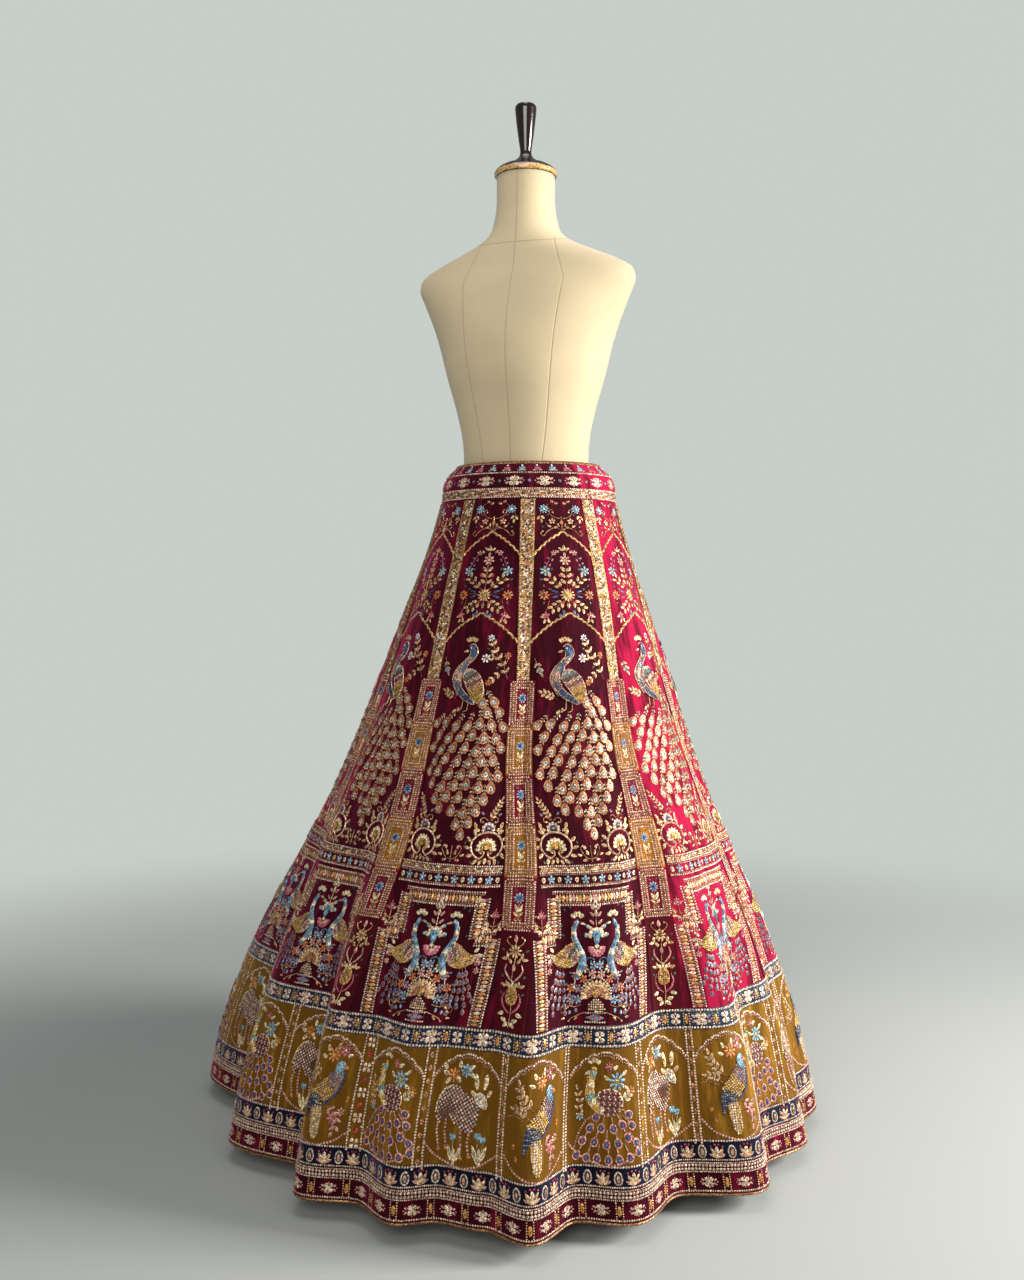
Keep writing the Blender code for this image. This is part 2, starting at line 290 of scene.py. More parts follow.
def creases(angles, z):
    """The listed creases, each a bell across and fading at its ends, and faint ripples that drift
    down."""
    total = np.zeros_like(angles)
    for angle, depth, half, top, low in CREASES:
        away = (angles - angle + 180.0) % 360.0 - 180.0
        middle = (top + low) / 2.0
        ends = smooth((top - z) / (top - middle)) * smooth((z - low) / (middle - low))
        total -= depth * ends * np.exp(-((away / half) ** 2))
    drift = np.radians(angles)
    ripple = np.sin(31 * drift + 9.0 * z) + 0.6 * np.sin(53 * drift - 14.0 * z + 1.0)
    return total + 0.0005 * ripple * smooth((0.98 - z) / 0.2) * smooth((z - 0.1) / 0.3)


def ring(z):
    """The cloth's middle line at height z as level points, from the front seam and once round."""
    start = SEAM_ANGLE - 1.6 * smooth((z - 0.45) / 0.2) - 3.5 * smooth((0.6 - z) / 0.5)
    angles = start + np.linspace(0.0, 360.0, RING_STEPS + 1)
    turn = np.radians(angles)
    out, lean = folds(angles, z)
    out = out + panel_wave(angles, z) + creases(angles, z)
    half_width, half_depth, shift = (curve_through(SECTIONS, c, z) for c in (1, 2, 3))
    x = (half_width + out) * np.sin(turn) + lean * np.cos(turn) + shift
    y = -(half_depth + out) * np.cos(turn) + lean * np.sin(turn)
    return np.column_stack([x, y])


def eased(shares, z):
    """Shares of the way round, drawn apart at the front near the waist: a share and a sine of it, the
    sine's part fading to nothing by the tail's height."""
    ease = FRONT_EASE * smooth((z - 0.62) / 0.36)
    return shares + ease * np.sin(2.0 * np.pi * shares) / (2.0 * np.pi)


class Cloth:
    """The surface as a fine grid of points, read at any share of the way round, height and lift."""

    SHARES = 1600
    ROWS = 520

    def __init__(self):
        self.heights = np.linspace(HEM - 0.002, WAIST_TOP + 0.002, self.ROWS)
        grid = np.empty((self.ROWS, self.SHARES, 3))
        self.wholes = np.empty(self.ROWS)
        for row, z in enumerate(self.heights):
            line = ring(z)
            reach = np.concatenate([[0.0], np.cumsum(np.linalg.norm(np.diff(line, axis=0), axis=1))])
            at = eased(np.arange(self.SHARES) / self.SHARES, z) * reach[-1]
            grid[row, :, 0] = np.interp(at, reach, line[:, 0])
            grid[row, :, 1] = np.interp(at, reach, line[:, 1])
            grid[row, :, 2] = z
            self.wholes[row] = reach[-1]
        around = np.roll(grid, -2, axis=1) - np.roll(grid, 2, axis=1)
        up = np.gradient(grid, axis=0)
        normal = np.cross(around, up)
        normal /= np.linalg.norm(normal, axis=2, keepdims=True)
        self.grid = np.concatenate([grid, normal], axis=2)

    def whole(self, z):
        """The length once round at height z."""
        return np.interp(z, self.heights, self.wholes)

    def at(self, share, z, lift):
        """Points on the surface, moved out along its normal, by straight interpolation in the grid."""
        share, z, lift = np.broadcast_arrays(share, z, lift)
        column = (share % 1.0) * self.SHARES
        row = np.clip((z - self.heights[0]) / (self.heights[1] - self.heights[0]), 0, self.ROWS - 1.001)
        c, r = np.floor(column).astype(int), np.floor(row).astype(int)
        fc, fr = (column - c)[..., None], (row - r)[..., None]
        c0, c1 = c % self.SHARES, (c + 1) % self.SHARES
        low = self.grid[r, c0] * (1 - fc) + self.grid[r, c1] * fc
        high = self.grid[r + 1, c0] * (1 - fc) + self.grid[r + 1, c1] * fc
        found = low * (1 - fr) + high * fr
        return found[..., :3] + found[..., 3:] * lift[..., None]


CLOTH = Cloth()


def tile_half(z):
    """Half the width of the tile column, which widens downwards."""
    down = smooth((STRIP_END - z) / (STRIP_END - MIDDLE_LOW))
    return TILE_HALF_TOP + (TILE_HALF_LOW - TILE_HALF_TOP) * down


def on_panels(points):
    """Lays flat points (across from the panel's middle, height, lift) on every panel."""
    shares = (np.arange(PANELS)[:, None] + 0.5) / PANELS + points[None, :, 0] / CLOTH.whole(points[:, 1])
    return CLOTH.at(shares, points[None, :, 1], points[None, :, 2]).reshape(-1, 3)


def on_seams(points):
    """Lays flat points (across from the seam, height, lift) over every seam."""
    shares = np.arange(PANELS)[:, None] / PANELS + points[None, :, 0] / CLOTH.whole(points[:, 1])
    return CLOTH.at(shares, points[None, :, 1], points[None, :, 2]).reshape(-1, 3)


# ---------------------------------------------------------------- meshes


def made(name, points, faces, finish, colours=None, uv=None, sharp=40.0):
    """A smooth-shaded mesh object from arrays, with its colours as the attribute named thread."""
    mesh = bpy.data.meshes.new(name)
    faces = np.asarray(faces)
    corners = faces.shape[1]
    mesh.vertices.add(len(points))
    mesh.vertices.foreach_set("co", np.asarray(points, np.float32).ravel())
    mesh.loops.add(faces.size)
    mesh.loops.foreach_set("vertex_index", faces.astype(np.int32).ravel())
    mesh.polygons.add(len(faces))
    mesh.polygons.foreach_set("loop_start", np.arange(0, faces.size, corners, dtype=np.int32))
    mesh.polygons.foreach_set("loop_total", np.full(len(faces), corners, np.int32))
    mesh.update(calc_edges=True)
    if colours is not None:
        layer = mesh.color_attributes.new("thread", "FLOAT_COLOR", "POINT")
        layer.data.foreach_set("color", np.asarray(colours, np.float32).ravel())
    if uv is not None:
        layer = mesh.uv_layers.new(name="cloth")
        layer.data.foreach_set("uv", np.asarray(uv, np.float32).ravel())
    mesh.shade_smooth()
    mesh.set_sharp_from_angle(angle=math.radians(sharp))
    mesh.materials.append(finish)
    obj = bpy.data.objects.new(name, mesh)
    bpy.context.scene.collection.objects.link(obj)
    return obj


def grid_faces(rows, columns, closed=False):
    """Quads of a grid of points listed row by row, facing out where rows go up and columns go round."""
    r, c = np.meshgrid(np.arange(rows - 1), np.arange(columns if closed else columns - 1), indexing="ij")
    r, c = r.ravel(), c.ravel()
    after = (c + 1) % columns
    return np.column_stack([r * columns + c, r * columns + after, (r + 1) * columns + after,
                            (r + 1) * columns + c])


def shell(name, share, z, finish, lift=0.0, wall=WALL, closed=False, colours=None, across=None):
    """A wall of cloth: the surface at grids of shares and heights, once out and once in, joined at the
    edges."""
    rows, columns = share.shape
    z = np.broadcast_to(z, share.shape)
    outer = CLOTH.at(share, z, lift + wall / 2).reshape(-1, 3)
    inner = CLOTH.at(share, z, lift - wall / 2).reshape(-1, 3)
    count = rows * columns
    faces = grid_faces(rows, columns, closed)
    edges = []
    index = np.arange(count).reshape(rows, columns)
    for line, flip in ((index[-1], False), (index[0], True)):
        ahead = np.roll(line, -1) if closed else line[1:]
        line = line if closed else line[:-1]
        quad = np.column_stack([line, ahead, ahead + count, line + count])
        edges.append(quad[:, ::-1] if flip else quad)
    if not closed:
        for line, flip in ((index[:, 0], False), (index[:, -1], True)):
            quad = np.column_stack([line[:-1], line[1:], line[1:] + count, line[:-1] + count])
            edges.append(quad[:, ::-1] if flip else quad)
    faces = np.vstack([faces, faces[:, ::-1] + count, *edges])
    flat = share * CLOTH.whole(z.mean()) if across is None else across
    uv = np.tile(np.column_stack([np.ravel(flat), np.ravel(z)]), (2, 1))[faces]
    if closed:
        whole = CLOTH.whole(z.mean())
        crosses = np.ptp(uv[..., 0], axis=1)[:, None] > 0.5 * whole
        uv[..., 0] += np.where(crosses & (uv[..., 0] < 0.5 * whole), whole, 0.0)
    if colours is not None:
        colours = np.tile(colours.reshape(-1, 4), (2, 1))
    return made(name, np.vstack([outer, inner]), faces, finish, colours, uv)


# ---------------------------------------------------------------- stitched shapes
# A shape is (points, faces, threads): points are across, up and lift in metres, faces are triangles.


def joined(*shapes):
    """Several shapes as one."""
    starts = np.cumsum([0] + [len(s[0]) for s in shapes[:-1]])
    return (
        np.vstack([s[0] for s in shapes]),
        np.vstack([s[1] + start for s, start in zip(shapes, starts)]),
        np.vstack([s[2] for s in shapes]),
    )


def moved(shape, x=0.0, y=0.0, flip=False, lift=0.0):
    """The shape mirrored if asked, then shifted."""
    points, faces, threads = shape
    if flip:
        points, faces = points * (-1.0, 1.0, 1.0), faces[:, ::-1]
    return points + (x, y, lift), faces, threads


def both_sides(shape):
    """The shape with its mirror image."""
    return joined(shape, moved(shape, flip=True))


def petals(at, long, wide, turn, colour, tip=0.0, rise=0.001, sides=7, rim=0.72, lift=0.0, core=1.0):
    """Domed stitches. The rim at angle t is long/2 cos t along and wide/2 sin t (1 - tip cos t) across."""
    at = np.atleast_2d(np.asarray(at, float))
    count = len(at)
    long, wide, turn = (np.broadcast_to(np.asarray(v, float), count)[:, None] for v in (long, wide, turn))
    t = np.arange(sides) * 2.0 * np.pi / sides
    along = np.cos(t) * long / 2.0
    across = np.sin(t) * (1.0 - tip * np.cos(t)) * wide / 2.0
    sine, cosine = np.sin(np.radians(turn)), np.cos(np.radians(turn))
    rim_x = at[:, :1] + along * sine + across * cosine
    rim_y = at[:, 1:2] + along * cosine - across * sine
    points = np.zeros((count, sides + 1, 3))
    points[:, :sides, 0], points[:, :sides, 1] = rim_x, rim_y
    points[:, sides, :2] = at[:, :2]
    points[:, :, 2] = lift
    points[:, sides, 2] += rise
    k = np.arange(sides)
    fan = np.column_stack([np.full(sides, sides), (k + 1) % sides, k])
    faces = (fan[None] + (np.arange(count) * (sides + 1))[:, None, None]).reshape(-1, 3)
    colour = np.broadcast_to(dyed(colour), (count, 4))
    threads = np.repeat(colour[:, None, :], sides + 1, axis=1).copy()
    # Painted shade: a rim factor below 1 draws each dome's edge darker than its raised middle; above 1,
    # with a darker core, it draws an outline in the thread
    threads[:, :sides, :3] *= rim
    threads[:, sides, :3] *= core
    return points.reshape(-1, 3), faces, threads.reshape(-1, 4)


def through(points, count):
    """A smooth line through a few points: a Catmull-Rom curve, read at even steps along it."""
    points = np.asarray(points, float)
    ends = np.vstack([2 * points[0] - points[1], points, 2 * points[-1] - points[-2]])
    u = np.linspace(0, len(points) - 1, 12 * len(points))
    i = np.clip(u.astype(int), 0, len(points) - 2)
    t = (u - i)[:, None]
    a, b, c, d = ends[i], ends[i + 1], ends[i + 2], ends[i + 3]
    line = 0.5 * (2 * b + (c - a) * t + (2 * a - 5 * b + 4 * c - d) * t**2 + (3 * b - a - 3 * c + d) * t**3)
    reach = np.concatenate([[0.0], np.cumsum(np.linalg.norm(np.diff(line[:, :2], axis=0), axis=1))])
    even = np.linspace(0.0, reach[-1], count)
    return np.column_stack([np.interp(even, reach, line[:, k]) for k in range(points.shape[1])]), reach[-1]


def stroke(path, colour, steps=8, lanes=3, rise=0.0009, lift=0.0):
    """A ridge of stitches along a path of (across, up, width): its section is a half sine. A colour may be
    a function of the shares along and across that gives one for each point."""
    line = through(path, steps)[0]
    ahead = np.gradient(line[:, :2], axis=0)
    ahead /= np.maximum(np.linalg.norm(ahead, axis=1), 1e-9)[:, None]
    side = np.column_stack([ahead[:, 1], -ahead[:, 0]])
    lane = np.linspace(-1.0, 1.0, lanes)
    points = np.empty((steps, lanes, 3))
    points[:, :, :2] = line[:, None, :2] + side[:, None] * (lane[None, :] * line[:, 2:3] / 2.0)[:, :, None]
    points[:, :, 2] = lift + rise * np.cos(lane * np.pi / 2.0)
    if callable(colour):
        threads = colour(*np.meshgrid(np.linspace(0, 1, steps), np.linspace(0, 1, lanes), indexing="ij"))
    else:
        threads = np.broadcast_to(dyed(colour), (steps, lanes, 4)).copy()
        # Painted shade: the ridge's two outer lanes are drawn darker than its crown
        threads[:, [0, -1], :3] *= 0.75
    quads = grid_faces(steps, lanes)
    faces = np.vstack([quads[:, [0, 1, 2]], quads[:, [0, 2, 3]]])
    return points.reshape(-1, 3), faces, threads.reshape(-1, 4)


def beads(path, pitch, size, colour, sides=5):
    """Beads sewn at an even pitch along a path."""
    path = np.asarray(path, float)
    _, length = through(path, 2)
    line, _ = through(path, max(2, int(round(length / pitch))))
    ahead = np.gradient(line[:, :2], axis=0)
    turn = np.degrees(np.arctan2(ahead[:, 0], ahead[:, 1]))
    return petals(line, size, size, turn, colour, rise=size * 0.45, sides=sides)


# ---------------------------------------------------------------- materials


def nodes_of(name):
    """A new material, its node tree and its shader."""
    material = bpy.data.materials.new(name)
    material.use_nodes = True
    return material, material.node_tree, material.node_tree.nodes["Principled BSDF"]


def node(tree, kind, inputs=(), **settings):
    """A node with its settings and its unlinked or linked inputs."""
    new = tree.nodes.new(kind)
    for key, value in settings.items():
        setattr(new, key, value)
    for key, value in dict(inputs).items():
        if isinstance(value, bpy.types.NodeSocket):
            tree.links.new(value, new.inputs[key])
        else:
            new.inputs[key].default_value = value
    return new


def ramp(tree, factor, stops):
    """A colour ramp through (place, colour) stops."""
    new = node(tree, "ShaderNodeValToRGB", {"Fac": factor})
    while len(new.color_ramp.elements) < len(stops):
        new.color_ramp.elements.new(0.5)
    for element, (place, colour) in zip(new.color_ramp.elements, stops):
        element.position = place
        element.color = (*colour[:3], 1.0)
    return new.outputs["Color"]


def mix(tree, factor, a, b, blend="MIX"):
    """Two colours mixed."""
    new = node(tree, "ShaderNodeMix", data_type="RGBA", blend_type=blend)
    for socket, value in ((new.inputs[0], factor), (new.inputs[6], a), (new.inputs[7], b)):
        if isinstance(value, bpy.types.NodeSocket):
            tree.links.new(value, socket)
        elif socket.type == "RGBA":
            socket.default_value = (*value[:3], 1.0)
        else:
            socket.default_value = value
    return new.outputs[2]


def velvet(name, deep, bright, sheen, sheen_weight=1.0, grounds=False):
    """Crushed velvet: the pile lies in patches drawn out down the cloth, dark where it points at the eye
    and bright where it lies over, under a fine pile bump and a coloured sheen. Round the right-hand side,
    where the level direction out from the axis leans far enough that way, the velvet is painted in its
    bright colour, a painted lit side where the key light falls, less so in the borders."""
    material, tree, shader = nodes_of(name)
    uv = node(tree, "ShaderNodeUVMap", uv_map="cloth").outputs["UV"]
    drawn = node(tree, "ShaderNodeMapping", {"Vector": uv, "Scale": (55.0, 9.0, 1.0)}).outputs["Vector"]
    patches = node(tree, "ShaderNodeTexNoise", {"Vector": drawn, "Scale": 1.0, "Detail": 5.0,
                                                "Roughness": 0.62})
    fine = node(tree, "ShaderNodeTexNoise", {"Vector": uv, "Scale": 900.0, "Detail": 2.0})
    # Painted light: the side term below draws the velvet in its bright colour round the right-hand side,
    # where the key light falls, by how far the level direction out from the axis leans that way, and less
    # in the borders
    place = node(tree, "ShaderNodeTexCoord").outputs["Object"]
    level = node(tree, "ShaderNodeVectorMath", {0: place, 1: (1.0, 1.0, 0.0)},
                 operation="MULTIPLY").outputs["Vector"]
    out = node(tree, "ShaderNodeVectorMath", {0: level}, operation="NORMALIZE").outputs["Vector"]
    lean = node(tree, "ShaderNodeVectorMath", {0: out, 1: PAINTED_LIT_SIDE},
                operation="DOT_PRODUCT").outputs["Value"]
    side = node(tree, "ShaderNodeMapRange", {"Value": lean, "From Min": 0.5, "From Max": 0.66,
                                             "To Max": 0.25},
                interpolation_type="SMOOTHSTEP").outputs["Result"]
    height = node(tree, "ShaderNodeSeparateXYZ", {"Vector": place}).outputs["Z"]
    above = node(tree, "ShaderNodeMapRange", {"Value": height, "From Min": MUSTARD_TOP,
                                              "From Max": BLUE_TOP,
                                              "To Min": 0.25}).outputs["Result"]
    side = node(tree, "ShaderNodeMath", {0: side, 1: above}, operation="MULTIPLY").outputs[0]
    patches_and_painted_side = node(tree, "ShaderNodeMath", {0: patches.outputs["Fac"], 1: side}, operation="ADD").outputs[0]
    lie_and_painted_light = ramp(tree, patches_and_painted_side, ((0.51, (0.0,) * 3), (0.66, (0.25,) * 3), (0.8, (1.0,) * 3)))
    colour = mix(tree, lie_and_painted_light, deep, bright)
    if grounds:
        own = node(tree, "ShaderNodeAttribute", attribute_name="thread")
        colour = mix(tree, 1.0, colour, own.outputs["Color"], "MULTIPLY")
    tree.links.new(colour, shader.inputs["Base Color"])
    height = node(tree, "ShaderNodeMath", {0: patches.outputs["Fac"], 1: 3.0},
                  operation="MULTIPLY").outputs[0]
    total = node(tree, "ShaderNodeMath", {0: height, 1: fine.outputs["Fac"]}, operation="ADD").outputs[0]
    bump = node(tree, "ShaderNodeBump", {"Height": total, "Strength": 0.5, "Distance": 0.0012})
    tree.links.new(bump.outputs["Normal"], shader.inputs["Normal"])
    shader.inputs["Roughness"].default_value = 0.78
    shader.inputs["Specular IOR Level"].default_value = 0.06
    shader.inputs["Sheen Weight"].default_value = sheen_weight
    shader.inputs["Sheen Roughness"].default_value = 0.4
    shader.inputs["Sheen Tint"].default_value = (*sheen, 1.0)
    return material


def needlework(name="needlework"):
    """Thread, beads and sequins: each shape's own colour, broken into cells a bead across that are painted
    lighter and darker, a painted glint.
    """
    material, tree, shader = nodes_of(name)
    own = node(tree, "ShaderNodeAttribute", attribute_name="thread")
    place = node(tree, "ShaderNodeTexCoord").outputs["Object"]
    cells = node(tree, "ShaderNodeTexVoronoi", {"Vector": place, "Scale": 560.0})
    # Painted glint: each cell darkens the thread's colour or lightens it past its own tone, as if beads and
    # sequins caught the light
    painted_glint = ramp(tree, cells.outputs["Color"], ((0.15, (0.22, 0.16, 0.13)), (0.5, (0.66,) * 3),
                                                (0.8, (1.4,) * 3)))
    colour = mix(tree, 1.0, own.outputs["Color"], painted_glint, "MULTIPLY")
    tree.links.new(colour, shader.inputs["Base Color"])
    tree.links.new(own.outputs["Alpha"], shader.inputs["Metallic"])
    rough = ramp(tree, cells.outputs["Color"], ((0.0, (0.55,) * 3), (1.0, (0.24,) * 3)))
    tree.links.new(rough, shader.inputs["Roughness"])
    bump = node(tree, "ShaderNodeBump", {"Height": cells.outputs["Distance"], "Strength": 0.55,
                                         "Distance": 0.0006})
    bump.invert = True
    tree.links.new(bump.outputs["Normal"], shader.inputs["Normal"])
    return material


def calico(name, tone):
    """Cotton cover of the form: a plain weave, faint soiling, and its sewn seams. The princess seams stand
    at a distance from the middle that a ramp gives for each height, and the neck seam is a tilted ring."""
    material, tree, shader = nodes_of(name)
    place = node(tree, "ShaderNodeTexCoord").outputs["Object"]
    split = node(tree, "ShaderNodeSeparateXYZ", {"Vector": place})
    x, y, z = split.outputs

    def math_node(operation, *values):
        return node(tree, "ShaderNodeMath", dict(enumerate(values)), operation=operation).outputs[0]

    height = node(tree, "ShaderNodeMapRange", {"Value": z, "From Min": 0.9,
                                               "From Max": 1.45}).outputs["Result"]
    stops = ((0.0, (0.6,) * 3), (0.33, (0.42,) * 3), (0.62, (0.6,) * 3), (0.86, (0.72,) * 3),
             (1.0, (0.5,) * 3))
    princess = math_node("MULTIPLY", ramp(tree, height, stops), 0.118)
    far = math_node("ABSOLUTE", math_node("SUBTRACT", math_node("ABSOLUTE", x), princess))
    below_neck = math_node("GREATER_THAN", z, 1.447)
    far = math_node("ADD", far, math_node("MULTIPLY", below_neck, 0.1))
    middle = math_node("ABSOLUTE", x)
    side = math_node("ABSOLUTE", y)
    tilt = math_node("MULTIPLY", y, 0.22)
    neck = math_node("ABSOLUTE", math_node("SUBTRACT", math_node("SUBTRACT", z, 1.452), tilt))
    nearest = math_node("MINIMUM", math_node("MINIMUM", far, middle), math_node("MINIMUM", side, neck))
    line = node(tree, "ShaderNodeMapRange", {"Value": nearest, "From Min": 0.0, "From Max": 0.0016})
    soil = node(tree, "ShaderNodeTexNoise", {"Vector": place, "Scale": 9.0, "Detail": 4.0})
    dark = tuple(0.86 * c for c in tone)
    colour = mix(tree, ramp(tree, soil.outputs["Fac"], ((0.35, (0.0,) * 3), (0.75, (1.0,) * 3))), tone,
                 dark)
    colour = mix(tree, line.outputs["Result"], tuple(0.72 * c for c in tone), colour)
    tree.links.new(colour, shader.inputs["Base Color"])
    weave = node(tree, "ShaderNodeTexNoise", {"Vector": place, "Scale": 1500.0,
                                              "Detail": 1.0}).outputs["Fac"]
    creased = node(tree, "ShaderNodeTexNoise", {"Vector": place, "Scale": 28.0,
                                                "Detail": 2.0}).outputs["Fac"]
    relief = math_node("ADD", math_node("MULTIPLY", line.outputs["Result"], 1.2),
                       math_node("MULTIPLY", weave, 0.35))
    relief = math_node("ADD", relief, math_node("MULTIPLY", creased, 0.9))
    bump = node(tree, "ShaderNodeBump", {"Height": relief, "Strength": 0.45, "Distance": 0.0012})
    tree.links.new(bump.outputs["Normal"], shader.inputs["Normal"])
    shader.inputs["Roughness"].default_value = 0.9
    shader.inputs["Sheen Weight"].default_value = 0.15
    return material


def turned_wood(name, dark, worn):
    """Lacquered turned wood: grain drawn up the piece, fine turning rings, and rims worn to a paler
    tone."""
    material, tree, shader = nodes_of(name)
    place = node(tree, "ShaderNodeTexCoord").outputs["Object"]
    drawn = node(tree, "ShaderNodeMapping", {"Vector": place,
                                             "Scale": (160.0, 160.0, 14.0)}).outputs["Vector"]
    grain = node(tree, "ShaderNodeTexNoise", {"Vector": drawn, "Scale": 1.0, "Detail": 6.0,
                                              "Distortion": 0.6})
    colour = ramp(tree, grain.outputs["Fac"], ((0.3, tuple(0.45 * c for c in dark)), (0.75, dark)))
    own = node(tree, "ShaderNodeAttribute", attribute_name="thread")
    rub = node(tree, "ShaderNodeTexNoise", {"Vector": place, "Scale": 240.0, "Detail": 3.0})
    patchy = node(tree, "ShaderNodeMath", {0: own.outputs["Fac"], 1: rub.outputs["Fac"]},
                  operation="MULTIPLY")
    wear = ramp(tree, patchy.outputs[0], ((0.3, (0.0,) * 3), (0.48, (1.0,) * 3)))
    tree.links.new(mix(tree, wear, colour, worn), shader.inputs["Base Color"])
    tree.links.new(ramp(tree, wear, ((0.0, (0.16,) * 3), (1.0, (0.42,) * 3))), shader.inputs["Roughness"])
    bump = node(tree, "ShaderNodeBump", {"Height": grain.outputs["Fac"], "Strength": 0.12,
                                         "Distance": 0.0005})
    tree.links.new(bump.outputs["Normal"], shader.inputs["Normal"])
    shader.inputs["Coat Weight"].default_value = 0.7
    shader.inputs["Coat Roughness"].default_value = 0.08
    return material


def painted_steel(name, tone):
    """Black paint baked on steel: a faint orange-peel bump and scuffs that catch the light."""
    material, tree, shader = nodes_of(name)
    place = node(tree, "ShaderNodeTexCoord").outputs["Object"]
    peel = node(tree, "ShaderNodeTexNoise", {"Vector": place, "Scale": 420.0, "Detail": 2.0})
    scuffs = node(tree, "ShaderNodeTexNoise", {"Vector": place, "Scale": 24.0, "Detail": 7.0,
                                               "Roughness": 0.7})
    tree.links.new(ramp(tree, scuffs.outputs["Fac"], ((0.45, tone), (0.75, tuple(2.2 * c for c in tone)))),
                   shader.inputs["Base Color"])
    tree.links.new(ramp(tree, scuffs.outputs["Fac"], ((0.4, (0.34,) * 3), (0.7, (0.55,) * 3))),
                   shader.inputs["Roughness"])
    bump = node(tree, "ShaderNodeBump", {"Height": peel.outputs["Fac"], "Strength": 0.2,
                                         "Distance": 0.0004})
    tree.links.new(bump.outputs["Normal"], shader.inputs["Normal"])
    return material


def pale_floor(name, tone, wall):
    """Matt pale floor with a faint uneven tone, which passes into the plain background with distance."""
    material, tree, shader = nodes_of(name)
    place = node(tree, "ShaderNodeTexCoord").outputs["Object"]
    uneven = node(tree, "ShaderNodeTexNoise", {"Vector": place, "Scale": 0.8, "Detail": 3.0})
    tree.links.new(ramp(tree, uneven.outputs["Fac"], ((0.3, tuple(0.97 * c for c in tone)), (0.7, tone))),
                   shader.inputs["Base Color"])
    shader.inputs["Roughness"].default_value = 0.85
    away = node(tree, "ShaderNodeVectorMath", {0: place}, operation="LENGTH").outputs["Value"]
    far = node(tree, "ShaderNodeMapRange", {"Value": away, "From Min": 0.75, "From Max": 2.6},
               interpolation_type="SMOOTHSTEP").outputs["Result"]
    glow = node(tree, "ShaderNodeEmission", {"Color": (*wall, 1.0)})
    both = node(tree, "ShaderNodeMixShader", {0: far})
    tree.links.new(shader.outputs[0], both.inputs[1])
    tree.links.new(glow.outputs[0], both.inputs[2])
    tree.links.new(both.outputs[0], tree.nodes["Material Output"].inputs["Surface"])
    return material


# ---------------------------------------------------------------- embroidery patterns


def mm(*rows):
    """Rows of millimetres as metres."""
    return np.array(rows, float) / 1000.0


def banded(*names, share=1.0):
    """Threads that follow each other along a stroke."""
    rows = np.array([thread(n, share) for n in names])
    return lambda u, v: rows[np.clip((u * len(rows)).astype(int), 0, len(rows) - 1)]


def beaded(outline, pitch, size, names, turn=0.0, skew=1, lift=0.0006, bands=None):
    """Beads on a turned square grid, kept inside a smooth closed outline: a point is inside when a level
    line
    from it crosses the outline an odd number of times. Threads follow the grid, or bands across the
    outline."""
    edge, _ = through(np.vstack([outline, outline[:1]]), 60)
    middle, reach = edge.mean(axis=0), np.ptp(edge, axis=0).max()
    steps = np.arange(-int(reach / pitch), int(reach / pitch) + 1)
    i, j = (g.ravel() for g in np.meshgrid(steps, steps))
    a = math.radians(turn)
    at = middle + pitch * np.column_stack([i * math.cos(a) - j * math.sin(a),
                                           i * math.sin(a) + j * math.cos(a)])
    start, end = edge, np.roll(edge, -1, axis=0)
    level = at[:, 1:2]
    spans = (start[None, :, 1] > level) != (end[None, :, 1] > level)
    rise = np.where(end[:, 1] == start[:, 1], 1e-9, end[:, 1] - start[:, 1])
    crossing = (end[:, 0] - start[:, 0]) * (level - start[None, :, 1]) / rise + start[:, 0]
    inside = (spans & (at[:, :1] < crossing)).sum(axis=1) % 2 == 1
    at, i, j = at[inside], i[inside], j[inside]
    tones = np.array([thread(n) for n in names])
    if bands is None:
        picked = (i + skew * j) % len(tones)
    else:
        way = np.array([math.sin(math.radians(bands)), math.cos(math.radians(bands))])
        share = at @ way
        share = (share - share.min()) / max(np.ptp(share), 1e-9)
        picked = np.clip((share * len(tones)).astype(int), 0, len(tones) - 1)
    return petals(at, size, size, 0, tones[picked], rise=size * 0.45, sides=6, lift=lift, rim=0.6)


def patch(outline, name, share=0.5, rise=0.0006):
    """A filled shape under beads: a fan from its middle to a smooth closed outline."""
    edge, _ = through(np.vstack([outline, outline[:1]]), 33)
    edge = edge[:-1]
    middle = edge.mean(axis=0)
    count = len(edge)
    points = np.zeros((count + 1, 3))
    points[:count, :2], points[count, :2], points[count, 2] = edge, middle, rise
    k = np.arange(count)
    after = (k + 1) % count
    faces = np.column_stack([np.full(count, count), k, after])
    ahead = np.roll(edge, -1, axis=0)
    turning = np.sum(edge[:, 0] * ahead[:, 1] - ahead[:, 0] * edge[:, 1])
    faces = faces if turning > 0 else faces[:, ::-1]
    return points, faces, np.tile(thread(name, share), (count + 1, 1))


def scalloped(half, spring, apex, cusps, bump=0.0017):
    """The path of an arch that falls from its point in small scallops, a little faster as it nears its
    springs."""
    u = np.linspace(-1.0, 1.0, 24 * cusps + 1)
    t = np.abs(u)
    fall = 0.55 * t + 0.45 * t * t
    cusp = bump * np.abs(np.sin(np.pi * cusps * t))
    y = apex - (apex - spring) * fall + cusp + 0.0018 * np.exp(-((t / 0.07) ** 2))
    return np.column_stack([u * half, y])


def field_arch(spring, apex, cusps):
    """A rope arch from one gold strip to the next."""
    half = float(CLOTH.whole(spring)) / PANELS / 2 - STRIP_HALF
    return rope(scalloped(half, spring, apex, cusps, 0.0022), 0.003)


